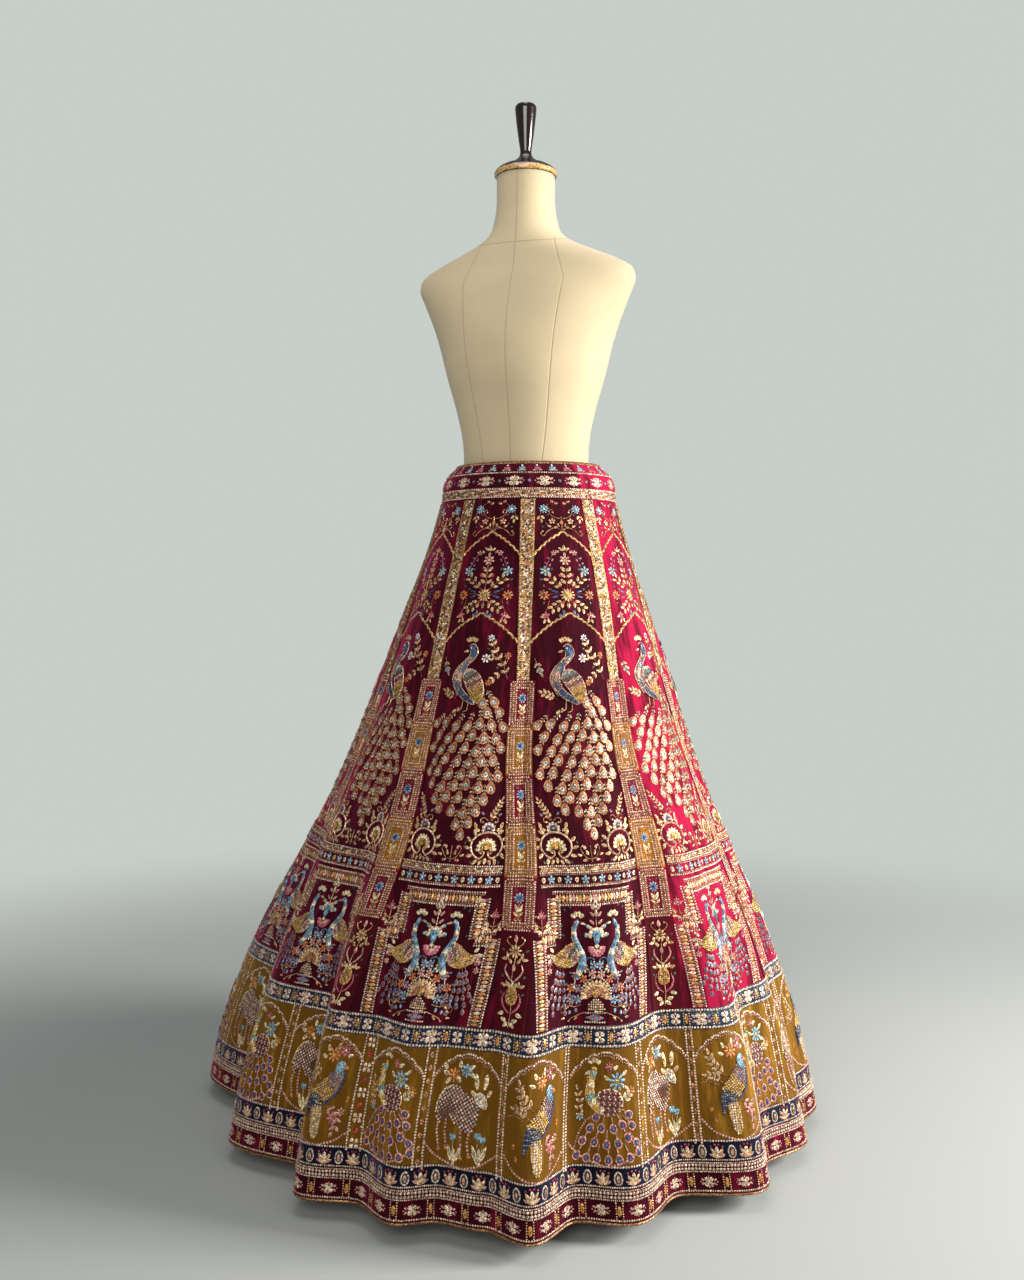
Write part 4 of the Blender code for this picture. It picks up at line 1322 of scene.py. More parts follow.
def strip_pattern():
    """The gold strip on a seam: sequins between two rails of paler beads."""
    low, high = STRIP_END + 0.0005, WAIST_SEAM - 0.0015
    shapes = [sequin_field(STRIP_HALF - 0.0022, low, high)]
    for way in (-1, 1):
        line = [(way * (STRIP_HALF - 0.0016), low), (way * (STRIP_HALF - 0.0016), high)]
        shapes.append(beads(line, 0.0031, 0.0025, "pale_gold"))
    return joined(*shapes)


def column_tile():
    """One tile of the columns: a frame of beaded lines round a blue flower over pale leaves."""
    w, h = 0.0192, 0.032
    shapes = []
    lines = (("bead", 0.0026), ("rose_gold", 0.0022), ("pale_gold", 0.0026), ("rose_gold", 0.0022),
             ("bead", 0.0026))
    for k, (name, size) in enumerate(lines):
        a, b, c = w - 0.0022 * k, h - 0.0022 * k, 0.003 - 0.0006 * k
        corners = [(-a, -b + c), (-a, b - c), (-a + c, b), (a - c, b), (a, b - c), (a, -b + c), (a - c, -b),
                   (-a + c, -b),
                   (-a, -b + c)]
        for start, end in zip(corners, corners[1:]):
            shapes.append(beads([start, end], size * 1.1, size, thread(name)))
    return joined(
        *shapes,
        daisy(0.0, 0.008, 0.0072, "pale_blue", "blue", "ink", 9),
        petals(mm((0, 8)), 0.0076, 0.0076, 0, "blue", rise=0.001, lift=0.0007),
        petals(mm((0, 8)), 0.003, 0.003, 0, "ink", rise=0.0006, lift=0.0018, sides=6),
        stroke(mm((0, -20, 1.0), (0, -8, 1.0), (0, 1, 0.9)), "pale_gold", steps=5),
        both_sides(joined(
            leaf(mm((2.8, -5)), [24], 0.0115, 0.0042, "cream"),
            leaf(mm((3.8, -12)), [50], 0.0078, 0.0036, "pale_gold"),
            scroll([(0, -15), (3, -17), (5, -19.5), (2.5, -20)], width=0.9),
            petals(mm((5, 18)), 0.0048, 0.0026, 40, "green", sides=6),
        )),
    )


def vine_pattern():
    """The narrow plant at the foot of a column: a gold bell flower between rosy scrolling leaves, with
    buds."""
    side = joined(
        stroke(mm((1, 296, 1.6), (9, 302, 2.6), (13, 312, 2.4), (10, 321, 1.4)), "pink", steps=9),
        stroke(mm((1, 334, 1.2), (7, 340, 2.4), (12, 348, 2.2), (10, 356, 1.2)), "blush", steps=9),
        leaf(mm((8, 288), (13, 295), (5, 282)), [70, 110, 130], 0.009, 0.005, "cream"),
        leaf(mm((13, 330), (8, 332)), [70, 20], 0.008, 0.004),
        leaf(mm((6, 360), (10, 367), (14, 362)), [40, 10, 90], 0.008, 0.004),
        petals(mm((15, 320), (15, 341), (16, 373)), 0.005, 0.003, [40, 20, 60], "green", sides=6),
        scroll([(2, 378), (8, 380), (12, 386), (8, 389)], width=1.0),
    )
    return joined(
        stroke(mm((0, 279, 1.4), (1.5, 300, 1.2), (-1.5, 335, 1.1), (1, 366, 1.0), (0, 390, 0.9)),
               "pale_gold", steps=20),
        both_sides(side),
        petals(mm((0, 318)), 0.025, 0.017, 0, "gold", rise=0.002, sides=11, tip=0.2, rim=1.5, core=0.8),
        beaded(mm((-6, 311), (-6, 320), (0, 327), (6, 320), (6, 311), (0, 307)), 0.003, 0.0028,
               ("gold", "pale_gold", "bronze"),
               lift=0.0014),
        petals(mm((-4, 330), (0, 332), (4, 330)), 0.0078, 0.004, [-24, 0, 24], "cream", tip=0.2),
        daisy(0.0, 0.372, 0.0086, "pale_gold", "gold", "bronze", 9),
        leaf(mm((0, 388), (0, 352)), 0, 0.009, 0.0046, "blush"),
    )


def middle_pattern():
    """The middle border: a band of sequins between rails, over a chain of blue flowers and small linked
    rings."""
    shapes = [sequin_field(0.078, 0.4715, 0.4772, 0.0029)]
    for k in range(13):
        x = -0.0744 + 0.0124 * k
        if k % 2:
            shapes.append(daisy(x, 0.4605, 0.0058, "pale_blue", "slate", "white", 5))
        else:
            shapes.append(petals([[x, 0.4605]], 0.0074, 0.006, 0, "cream", rise=0.001, rim=1.0, core=0.5))
            shapes.append(petals([[x, 0.4605]], 0.0036, 0.003, 0, "orange", rise=0.0006, lift=0.0008,
                                 sides=6))
    for z, name in ((0.4786, "bead"), (0.4702, "bead"), (0.4675, "rose_gold"), (0.454, "rose_gold"),
                    (0.452, "bead")):
        shapes.append(beads([(-0.0782, z), (0.0782, z)], 0.0031, 0.0028, thread(name)))
    return joined(*shapes)


# ---------------------------------------------------------------- border patterns


def deer():
    """A deer netted in beads, turned to the right, with leaf-shaped horns, among flowers."""
    body = mm((-25, 27), (-13, 30), (-3, 24), (8, 18), (18, 12), (24, 4), (20, -6), (20, -14), (14, -25),
              (5, -27), (-8, -20),
              (-22, -9), (-33, -18), (-39, -12), (-38, 6), (-34, 19))
    legs = [beads(mm(*path), 0.004, 0.0038, "blush", sides=7) for path in (
        ((-34, -14), (-35, -28), (-31, -48)), ((-24, -10), (-24, -30), (-21, -46)),
        ((-2, -24), (0, -44), (0, -56)), ((11, -24), (9, -39), (12, -52)))]
    return joined(
        *legs,
        petals(mm((-30, -51), (-20, -49), (1, -59), (13, -55)), 0.0062, 0.0046, 110, "orange", tip=0.3,
               rise=0.0014),
        patch(body, "umber", 1.0, 0.0012),
        beaded(body, 0.0042, 0.0036, ("bead", "blush", "bead"), turn=38, lift=0.0008),
        beads(mm((-40, -4), (-38, 10), (-31, 23), (-20, 29)), 0.003, 0.0034, "cream"),
        petals(mm((24, 14)), 0.024, 0.015, 138, "cream", tip=0.25, rise=0.0026, sides=10, lift=0.0008),
        beaded(mm((17, 22), (24, 24), (31, 14), (33, 4), (27, 4), (18, 12)), 0.0028, 0.0026,
               ("bead", "white"), lift=0.0024),
        petals(mm((22, 16)), 0.0052, 0.0046, 0, "white", rise=0.0008, lift=0.0036, sides=7),
        petals(mm((22, 16)), 0.003, 0.0028, 0, "ink", rise=0.0006, lift=0.0044, sides=6),
        petals(mm((12, 22), (34, 23)), 0.0115, 0.0058, [-52, 36], "pale_gold", rise=0.0012, rim=1.1,
               core=0.5),
        petals(mm((15, 37), (28, 37)), 0.0205, 0.0068, [-10, 6], "cream", rise=0.0016, rim=1.0, core=0.7),
        petals(mm((14, 33), (15, 38), (27, 33), (28, 38)), 0.004, 0.005, [-10, -10, 6, 6], "pale_gold",
               lift=0.0012),
        daisy(-0.02, 0.042, 0.0096, "orange", "blush", "yellow", 8),
        daisy(-0.002, 0.049, 0.009, "pale_blue", "white", "slate", 8),
        leaf(mm((-32, 44), (-28, 34), (-12, 37), (8, 44), (6, 54), (-34, 52), (-12, 56)),
             [-70, -140, 140, 110, 60, -30, 0],
             0.0105, 0.0056, "cream"),
        petals(mm((-10, -34), (21, -29), (32, -33), (-14, -34), (25, -29), (28, -33)), 0.009, 0.0052,
               [12, -10, 14, -14, 12, -12],
               "pale_blue", tip=-0.2, rise=0.0014),
        leaf(mm((-15, -54), (-9, -58), (-3, -54), (20, -50), (26, -54), (32, -50), (23, -58)),
             [-16, 0, 18, -22, 0, 20, -40], 0.021,
             0.0052, "cream"),
        stroke(mm((-11, -60, 1), (-11, -38, 0.9)), "cream", 4),
        stroke(mm((25, -60, 1), (23, -34, 0.9)), "cream", 4),
        stroke(mm((27, -60, 1), (31, -38, 0.9)), "cream", 4),
    )


def parrot():
    """A parrot on a branch, turned to the right: netted back, gold breast, barred wing and a long pale
    tail."""
    body = mm((8, 24), (16, 30), (25, 24), (24, 10), (18, -4), (6, -14), (-8, -16), (-16, -10), (-14, 0),
              (-4, 10))
    wing = mm((-14, -4), (2, -10), (0, -18), (-12, -26), (-19, -39), (-20, -24), (-18, -12))
    tail = mm((-12, -20), (2, -18), (5, -40), (4, -60), (-4, -62), (-9, -44))
    return joined(
        patch(tail, "pale_gold", 0.8, 0.0014),
        beaded(tail, 0.0034, 0.0031, ("cream", "yellow", "bead"), skew=0, lift=0.0008),
        patch(body, "gold", 0.7, 0.0024),
        beaded(body, 0.0033, 0.0031, ("cream", "yellow", "pale_gold", "yellow", "lilac", "lilac",
                                      "pale_blue"), turn=30, bands=52,
               lift=0.0014),
        stroke(mm((25, 28, 2), (27, 14, 2.2), (21, -4, 2.2), (8, -17, 2), (-4, -22, 1.6)), "blue", steps=14,
               lift=0.001),
        patch(wing, "ink", 1.0, 0.0034),
        beaded(wing, 0.003, 0.003, ("ink", "slate", "ink", "lilac") * 3, bands=-58, lift=0.0024),
        rope(mm((-16, -2), (-4, -6), (2, -10)), 0.0018, "bead", "gold"),
        petals(mm((18, 31)), 0.016, 0.014, 20, "pale_blue", rise=0.0026, lift=0.001, sides=10),
        petals(mm((19, 33)), 0.0042, 0.004, 0, "white", rise=0.0006, lift=0.003, sides=7),
        petals(mm((19, 33)), 0.0024, 0.0024, 0, "ink", rise=0.0006, lift=0.0036, sides=6),
        petals(mm((27, 30)), 0.0105, 0.0062, 112, "orange", tip=0.5, rise=0.002, lift=0.001),
        daisy(0.003, 0.045, 0.01, "orange", "blush", "yellow", 8),
        daisy(0.019, 0.052, 0.0084, "pink", "plum", "cream", 6),
        leaf(mm((-12, 42), (-8, 53), (28, 46), (8, 57)), [-70, -30, 70, 10], 0.0095, 0.0048, "cream"),
        spray(mm((-8, 12), (-18, 22), (-26, 30), (-30, 42)), 4, 0.0095, 0.0048, "pale_gold"),
        spray(mm((-14, 4), (-24, 12), (-36, 14)), 3, 0.008, 0.0042, "pale_gold"),
        spray(mm((6, -18), (18, -26), (28, -40), (24, -54)), 4, 0.0085, 0.0044, "blush"),
        daisy(0.022, -0.035, 0.0084, "pink", "cream", "orange", 7),
        daisy(0.032, -0.027, 0.0058, "blush", "cream", "orange", 6),
        beads(mm((-44, 4), (-34, 6), (-22, 2)), 0.003, 0.0026, "rose_gold"),
        leaf(mm((-34, -30), (-30, -44), (38, -10)), [20, -20, 10], 0.008, 0.004, "orange"),
    )


def peacock_tile():
    """A peacock turned to the left, its tail falling in a bell of navy eyes."""
    tail_at = mm((-11, -11), (33, -7), (-19, -25), (-4, -24), (12, -24), (24, -19), (37, -21), (-29, -41),
                 (-13, -42), (3, -44),
                 (18, -42), (31, -35), (43, -43), (-37, -59), (-24, -62), (-10, -62), (5, -63), (19, -62),
                 (33, -60), (46, -55))
    turn = np.degrees(np.arctan2(*(tail_at - np.array([0.006, 0.012])).T))
    ahead = np.column_stack([np.sin(np.radians(turn)), np.cos(np.radians(turn))])
    body = mm((-8, 20), (4, 24), (16, 22), (24, 12), (22, 0), (10, -8), (-4, -6), (-12, 4))
    neck = mm((-15, 46, 9), (-19, 38, 9), (-20, 28, 11), (-20, 16, 14), (-12, 4, 14), (-2, -4, 8))
    crest = np.array([-42.0, -14.0, 14.0, 42.0])
    a = np.radians(crest)
    return joined(
        petals(tail_at - ahead * 0.012, 0.017, 0.0016, turn, "blush", sides=5),
        petals(tail_at, 0.0134, 0.0104, turn, "blush", tip=-0.15, sides=9, rim=1.1, core=0.7),
        petals(tail_at, 0.0098, 0.008, turn, thread("red", 0.7), tip=-0.15, lift=0.0006, rise=0.0005),
        petals(tail_at, 0.0072, 0.0062, turn, thread("blue", 0.7), lift=0.0011, rise=0.0008),
        petals(tail_at + ahead * 0.0008, 0.0022, 0.002, turn, "pale_blue", lift=0.0019, rise=0.0004,
               sides=5),
        patch(body, "umber", 1.0, 0.002),
        beaded(body, 0.0032, 0.0031, ("bead", "plum", "plum", "bead", "red"), turn=24, skew=2, lift=0.0014),
        rope(np.vstack([body, body[:1]]), 0.002, "bead", "pale_gold"),
        stroke(neck, banded("turquoise", "yellow", "cream", "yellow", "turquoise", "cream", "yellow",
                            "cream"), steps=24, lanes=5,
               rise=0.0026, lift=0.0006),
        beaded(mm((-20, 48), (-11, 48), (-13, 38), (-15, 24), (-8, 6), (-16, 2), (-26, 12), (-26, 30),
                  (-24, 40)), 0.0034, 0.0029,
               ("cream", "yellow", "bead", "pale_gold"), turn=15, lift=0.0024),
        petals(mm((-15.5, 47)), 0.01, 0.0094, 0, "yellow", rise=0.0022, lift=0.001),
        petals(mm((-16, 48)), 0.0028, 0.0028, 0, "ink", rise=0.0006, lift=0.0034, sides=6),
        petals(mm((-25, 43)), 0.011, 0.0042, -122, "cream", tip=0.5, rise=0.0014),
        petals(np.column_stack([-0.015 + np.sin(a) * 0.0095, 0.051 + np.cos(a) * 0.0085]), 0.0072, 0.0044,
               crest,
               "cream", tip=-0.3),
        daisy(0.017, 0.034, 0.0116, "pale_blue", "cream", "yellow", 9),
        daisy(0.006, 0.052, 0.0062, "pink", "blush", "yellow", 7),
        leaf(mm((15, 51), (28, 44), (29, 26), (2, 38)), [60, 50, 110, -50], 0.009, 0.0046, "cream"),
        spray(mm((22, 8), (30, 14), (37, 20)), 2, 0.0085, 0.0044, "cream", ("orange", "blush", "yellow"),
              0.0066),
        spray(mm((-26, -16), (-34, -6), (-34, 8), (-38, 22)), 4, 0.0075, 0.0038, "pale_gold"),
        daisy(-0.033, -0.011, 0.0054, "pale_blue", "white", "slate", 6),
        beads(mm((-12, -6), (-26, -18), (-36, -36), (-41, -52)), 0.0032, 0.0028, "blush"),
    )


def tile_frame():
    """The frame of a figured tile: a double beaded arch between its dividers, and a beaded swag at its
    foot."""
    arch = scalloped(0.049, 0.04, 0.0675, 4, 0.0022)
    arch[:, 1] += 0.004 * np.sin(np.pi * np.abs(arch[:, 0]) / 0.049)
    swag = mm((-49, -44), (-34, -59), (-14, -68), (4, -71), (24, -66), (38, -58), (49, -50))
    return joined(
        beads(arch, 0.0036, 0.0036, "bead"),
        beads(arch - (0.0, 0.0042), 0.0036, 0.003, "rose_gold"),
        beads(swag, 0.004, 0.0038, "blush"),
    )


def divider(wide, bloom):
    """Two beaded lines between tiles, with crosses or small diamonds between them."""
    shapes = []
    for way in (-1, 1):
        shapes.append(beads([(way * wide / 2, -0.0745), (way * wide / 2, 0.074)], 0.0037, 0.0036, "bead"))
    if wide > 0.008:
        places = np.linspace(-0.066, 0.066, 9)
        if bloom:
            for k, y in enumerate(places):
                if k % 2:
                    shapes.append(petals([[0.0, y]], 0.0085, 0.0085, 45, "red", sides=4, rise=0.0014))
                else:
                    shapes.append(daisy(0.0, y, wide * 0.38, "bead", "cream", "gold", 4, turn=45.0))
        else:
            at = np.column_stack([np.zeros(9), places])
            shapes.append(petals(at, 0.008, wide * 0.5, 0, "pale_gold", sides=4, rise=0.0012))
            shapes.append(petals(at, 0.0034, 0.0034, 0, "red", lift=0.0008, sides=6))
    return joined(*shapes)


def cross_bloom(x, y, radius):
    """The borders' flower: four outlined cream petals round a pale heart, with rosy sprigs at either
    side."""
    a = np.radians(45.0 + np.arange(4) * 90.0)
    shape = joined(
        petals(np.column_stack([np.sin(a), np.cos(a)]) * radius * 0.56, radius * 0.86, radius * 0.74,
               np.degrees(a),
               "bead", tip=-0.2, sides=8, rim=1.0, core=0.6),
        petals([[0, 0]], radius * 0.46, radius * 0.46, 0, "cream", rise=0.0012, lift=0.0006, sides=7),
        leaf([[0, radius * 0.8], [0, -radius * 0.8]], 0, radius * 0.5, radius * 0.26, "pale_gold"),
        leaf([[radius * 1.12, radius * 0.36], [radius * 1.12, -radius * 0.36],
              [-radius * 1.12, radius * 0.36],
              [-radius * 1.12, -radius * 0.36]], [60, 120, -60, -120], radius * 0.66, radius * 0.38,
              "blush"),
        petals([[radius * 1.5, 0], [-radius * 1.5, 0]], radius * 0.3, radius * 0.26, 0, "blush", sides=6),
    )
    return moved(shape, x, y)


def oval_divider(x, y, high, wide):
    """A beaded gold oval between two upright lines of beads."""
    return joined(
        petals([[x, y]], high * 0.66, wide * 0.62, 0, "gold", rise=0.0012, sides=9, rim=1.4, core=0.8),
        petals([[x, y]], high * 0.34, wide * 0.26, 0, "orange", rise=0.0006, lift=0.0011, sides=7),
        *[beads([(x + way * wide / 2, y - high / 2), (x + way * wide / 2, y + high / 2)], 0.0029, 0.0025,
                "pale_gold") for way in (-1, 1)],
    )


def blue_repeat(pitch):
    """One repeat of the blue border: a large flower with sprigs and a small one, with gold ovals
    between."""
    z = 0.26
    return joined(
        cross_bloom(0.0, z, 0.0098),
        daisy(pitch / 2, z, 0.0082, "bead", "pale_gold", "cream", 4, turn=45.0),
        petals([[pitch / 2, z + 0.0068], [pitch / 2, z - 0.0068]], 0.0034, 0.0026, 0, "blush", sides=6),
        oval_divider(pitch * 0.285, z, 0.0205, 0.0082),
        oval_divider(pitch * 0.715, z, 0.0205, 0.0082),
    )


def navy_repeat(pitch):
    """One repeat of the navy band: a small lotus under red berries, and an outlined egg."""
    x, e, z = -pitch / 4, pitch / 4, 0.086
    return joined(
        both_x(x, joined(
            leaf([[0.005, z - 0.001]], [34], 0.0128, 0.005, "pale_gold"),
            leaf([[0.0074, z - 0.0052]], [64], 0.0082, 0.004, "blush"),
            petals([[0.0026, z + 0.0085], [0.0082, z + 0.0062]], 0.0032, 0.0032, 0, "red", rise=0.0014,
                   sides=6),
        )),
        petals([[x, z - 0.0005]], 0.0145, 0.0058, 0, "bead", sides=8, rise=0.0014, rim=1.0, core=0.6),
        petals([[x, z - 0.0075]], 0.0042, 0.011, 0, "pale_gold", sides=7, rise=0.0012),
        petals([[e, z]], 0.0182, 0.0124, 0, "bead", rise=0.0008, sides=11, tip=0.12),
        petals([[e, z]], 0.014, 0.0088, 0, "ink", rise=0.0004, lift=0.0006, sides=9, tip=0.12),
        petals([[e, z - 0.0005]], 0.0094, 0.0046, 0, "pale_gold", rise=0.0008, lift=0.0011, sides=7),
        petals([[e, z - 0.0012]], 0.0032, 0.0026, 0, "pink", rise=0.0004, lift=0.0019, sides=6),
    )


def both_x(x, shape):
    """A shape and its mirror image about an upright line at x."""
    return moved(both_sides(shape), x)


def hem_repeat(pitch):
    """One repeat of the hem band: a flower with its sprigs and a gold oval."""
    return joined(cross_bloom(0.0, 0.0455, 0.0078), oval_divider(pitch / 2, 0.0455, 0.02, 0.0088))


def bead_line(z, size, name="bead"):
    """One bead's repeat for a line of beads right round, how many there are, and its height."""
    shape = petals([[0.0, z]], size, size, 0, thread(name), rise=size * 0.5, sides=6, rim=0.6)
    return shape, int(CLOTH.whole(z) / (size * 1.12)), z


# ---------------------------------------------------------------- laying the embroidery on the cloth


def around(count, reference, kinds=None, offset=0.5):
    """A placer: repeats right round, with the shapes' own widths true at the reference height."""
    kinds = np.arange(count) if kinds is None else np.array(kinds)
    whole = CLOTH.whole(reference)

    def place(points):
        shares = (kinds[:, None] + offset) / count + points[None, :, 0] / whole
        return CLOTH.at(shares, points[None, :, 1], points[None, :, 2]).reshape(-1, 3)

    return place


def on_columns(points):
    """A placer for the tile columns: the shape's width follows the column's."""
    fitted = points.copy()
    fitted[:, 0] *= tile_half(points[:, 1]) / 0.0215
    return on_seams(fitted)


def embroidered(name, layers, base=0.0):
    """One piece from many (shape, placer) pairs, each laid on the cloth as often as its placer says."""
    points, faces, threads, start = [], [], [], 0
    for (flat, triangles, tones), place in layers:
        flat = flat + (0.0, 0.0, WALL / 2 + base + STITCH_GAP)
        found = place(flat)
        copies = len(found) // len(flat)
        shift = start + np.arange(copies) * len(flat)
        points.append(found)
        faces.append((triangles[None] + shift[:, None, None]).reshape(-1, 3))
        threads.append(np.tile(tones, (copies, 1)))
        start += len(found)
    piece = made(name, np.vstack(points), np.vstack(faces), finish("needlework"), np.vstack(threads),
                 sharp=60.0)
    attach(piece, "root")
    return piece


def cut_of(low, high, start=0.0, share=1.0):
    """The flat cut of a length of cloth between two heights: greatest width, length down its middle, and
    area.
    The area adds up level strips, each as wide as the cloth there and as long as its slope."""
    z = np.linspace(low, high, 40)
    line = CLOTH.at(np.full(40, start + share / 2), z, 0.0)
    steps = np.linalg.norm(np.diff(line, axis=0), axis=1)
    widths = CLOTH.whole(z) * (eased(start + share, z) - eased(start, z))
    area = float(np.sum((widths[1:] + widths[:-1]) / 2 * steps))
    return (float(widths.max()), float(steps.sum())), area


def declared(piece, nodes, cut, area):
    """Ties a cloth piece to the root and hides the solids it stands for."""
    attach(piece, "root")
    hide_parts(*nodes)
    area = min(area, cut[0] * cut[1])


def border(name, low, high, rows, columns, finish_name, node_name):
    """A border right round the skirt: the surface between two heights as a closed wall."""
    share = np.broadcast_to(np.arange(columns) / columns, (rows, columns))
    z = np.broadcast_to(np.linspace(low, high, rows)[:, None], (rows, columns))
    piece = shell(name, share, z, finish(finish_name), closed=True)
    cut, area = cut_of(low, high)
    declared(piece, [node_name], cut, area)
    return piece


# ---------------------------------------------------------------- finishes


def finish(name):
    """The named finish, made once from the colours in the scene."""
    found = bpy.data.materials.get("lehenga " + name)
    if found:
        return found
    cloth, stand, stage = (getattr(bpy.context.scene, k) for k in ("lehenga_cloth", "lehenga_stand",
                                                                   "lehenga_stage"))
    label = "lehenga " + name
    if name.endswith("velvet"):
        kind = name[: -len(" velvet")]
        if kind == "tile":
            return velvet(label, (0.42,) * 3, (1.0,) * 3, cloth.tile_sheen, 0.6, grounds=True)
        deep, bright, sheen = (tuple(getattr(cloth, f"{kind}_{part}")) for part in ("deep", "bright",
                                                                                    "sheen"))
        return velvet(label, deep, bright, sheen, cloth.sheen_weight)
    makers = {
        "needlework": lambda: needlework(label),
        "calico": lambda: calico(label, tuple(stand.calico_tone)),
        "wood": lambda: turned_wood(label, tuple(stand.wood_tone), tuple(stand.rim_tone)),
        "steel": lambda: painted_steel(label, tuple(stand.steel_tone)),
        "floor": lambda: pale_floor(label, tuple(stage.floor_tone), tuple(stage.wall_tone)),
    }
    return makers[name]()


def colour(name, description, default):
    """A colour setting."""
    return bpy.props.FloatVectorProperty(
        name=name, description=description, default=default, subtype="COLOR", size=3, min=0.0, max=1.0
    )


def length(name, description, default):
    """A size setting in metres."""
    return bpy.props.FloatProperty(name=name, description=description, default=default, unit="LENGTH",
                                   min=0.0)


class LehengaCloth(bpy.types.PropertyGroup):
    """Colours of the velvets."""

    # Each light colour is also painted over its velvet's right-hand side, a painted lit side where the key
    # light falls
    maroon_deep: colour("Maroon shade", "Main velvet where its pile points at the eye",
                        (0.026, 0.0006, 0.0034))
    maroon_bright: colour("Maroon light", "Main velvet where its pile lies over", (0.34, 0.0064, 0.04))
    maroon_sheen: colour("Maroon sheen", "Light caught by the main velvet's pile", (1.0, 0.08, 0.26))
    mustard_deep: colour("Mustard shade", "Figured border where its pile points at the eye",
                         (0.11, 0.046, 0.003))
    mustard_bright: colour("Mustard light", "Figured border where its pile lies over", (0.48, 0.235, 0.022))
    mustard_sheen: colour("Mustard sheen", "Light caught by the figured border's pile", (1.0, 0.58, 0.14))
    blue_deep: colour("Blue shade", "Blue border where its pile points at the eye", (0.006, 0.016, 0.034))
    blue_bright: colour("Blue light", "Blue border where its pile lies over", (0.022, 0.066, 0.115))
    blue_sheen: colour("Blue sheen", "Light caught by the blue border's pile", (0.35, 0.6, 1.0))
    navy_deep: colour("Navy shade", "Navy band where its pile points at the eye", (0.002, 0.004, 0.012))
    navy_bright: colour("Navy light", "Navy band where its pile lies over", (0.008, 0.014, 0.045))
    navy_sheen: colour("Navy sheen", "Light caught by the navy band's pile", (0.4, 0.5, 1.0))
    tile_crimson: colour("Tile crimson", "Ground of every other tile, and darker under the vine",
                         (0.3, 0.006, 0.026))
    tile_orange: colour("Tile orange", "Ground of the tiles between", (0.56, 0.19, 0.012))
    tile_sheen: colour("Tile sheen", "Light caught by the tiles' pile", (1.0, 0.22, 0.2))
    sheen_weight: bpy.props.FloatProperty(
        name="Sheen", description="How strongly the pile catches light at a slant", default=0.5, min=0.0,
        max=1.0,
        subtype="FACTOR"
    )


class LehengaStand(bpy.types.PropertyGroup):
    """Colours of the form and its stand."""

    calico_tone: colour("Calico", "Cotton cover of the form", (0.52, 0.415, 0.255))
    wood_tone: colour("Wood", "Lacquered wood of the cap and handle", (0.016, 0.006, 0.005))
    rim_tone: colour("Worn rim", "Tone where the cap's rim is rubbed", (0.52, 0.3, 0.09))
    steel_tone: colour("Steel", "Paint of the pole and base", (0.018, 0.018, 0.02))


class LehengaStage(bpy.types.PropertyGroup):
    """Camera, floor and light."""

    floor_tone: colour("Floor", "Pale floor", (0.36, 0.375, 0.355))
    wall_tone: colour("Wall", "Plain pale background", (0.575, 0.615, 0.58))
    room_light: colour("Room light", "Soft light from all round", (0.18, 0.188, 0.196))
    away: length("Camera distance", "From the pole's axis to the lens", 2.2)
    height: length("Camera height", "Above the floor", 0.87)
    key_power: bpy.props.FloatProperty(name="Key light",
                                       description="Power of the large light on the right", default=190.0,
                                       unit="POWER", min=0.0)
    fill_power: bpy.props.FloatProperty(name="Fill light", description="Power of the light on the left",
                                        default=50.0,
                                        unit="POWER", min=0.0)


# ---------------------------------------------------------------- operators


class LEHENGA_OT_stage(bpy.types.Operator):
    """Sets the camera, the pale floor and the soft studio lights"""

    bl_idname = "lehenga.stage"
    bl_label = "Stage"

    def execute(self, context):
        stage = context.scene.lehenga_stage
        scene = context.scene
        turn = math.radians(CAMERA_TURN)
        right = np.array([math.cos(turn), math.sin(turn), 0.0])
        towards = np.array([math.sin(turn), -math.cos(turn), 0.0])
        camera = bpy.data.objects.new("camera", bpy.data.cameras.new("camera"))
        camera.location = towards * stage.away - right * CAMERA_ASIDE + (0.0, 0.0, stage.height)
        camera.rotation_euler = (math.radians(90.0), 0.0, turn)
        camera.data.sensor_width = 36.0
        camera.data.lens = CAMERA_LENS
        camera.data.shift_y = CAMERA_SHIFT
        scene.collection.objects.link(camera)
        scene.camera = camera
        reach = 14.0
        corners = [(-reach, -reach, 0), (reach, -reach, 0), (reach, reach, 0), (-reach, reach, 0)]
        floor = made("floor", corners, [(0, 1, 2, 3)], finish("floor"))
        lights = (
            ("key", stage.key_power, 1.1, right * 2.8 + towards * 0.6 + (0, 0, 1.5), 0.7,
             (1.0, 0.98, 0.95)),
            ("fill", stage.fill_power, 1.8, towards * 3.0 - right * 0.5 + (0, 0, 1.7), 0.65,
             (1.0, 0.99, 0.97)),
            ("top", 26.0, 1.8, towards * 0.6 + (0, 0, 3.2), 0.8, (1.0, 1.0, 1.0)),
        )
        for name, power, size, place, aim, tint in lights:
            light = bpy.data.lights.new(name, "AREA")
            light.energy, light.size, light.color = power, size, tint
            lamp = bpy.data.objects.new(name, light)
            lamp.location = place
            down = np.array([0.0, 0.0, aim]) - place
            level = math.hypot(down[0], down[1])
            lamp.rotation_euler = (math.atan2(level, -down[2]), 0.0,
                                   math.atan2(down[1], down[0]) - math.pi / 2)
            scene.collection.objects.link(lamp)
        world = bpy.data.worlds.new("room")
        world.use_nodes = True
        tree = world.node_tree
        seen = node(tree, "ShaderNodeLightPath").outputs["Is Camera Ray"]
        room = ramp(tree, seen, ((0.0, tuple(stage.room_light)), (1.0, tuple(stage.wall_tone))))
        tree.links.new(room, tree.nodes["Background"].inputs["Color"])
        scene.world = world
        scene.view_settings.view_transform = "Standard"
        return {"FINISHED"}


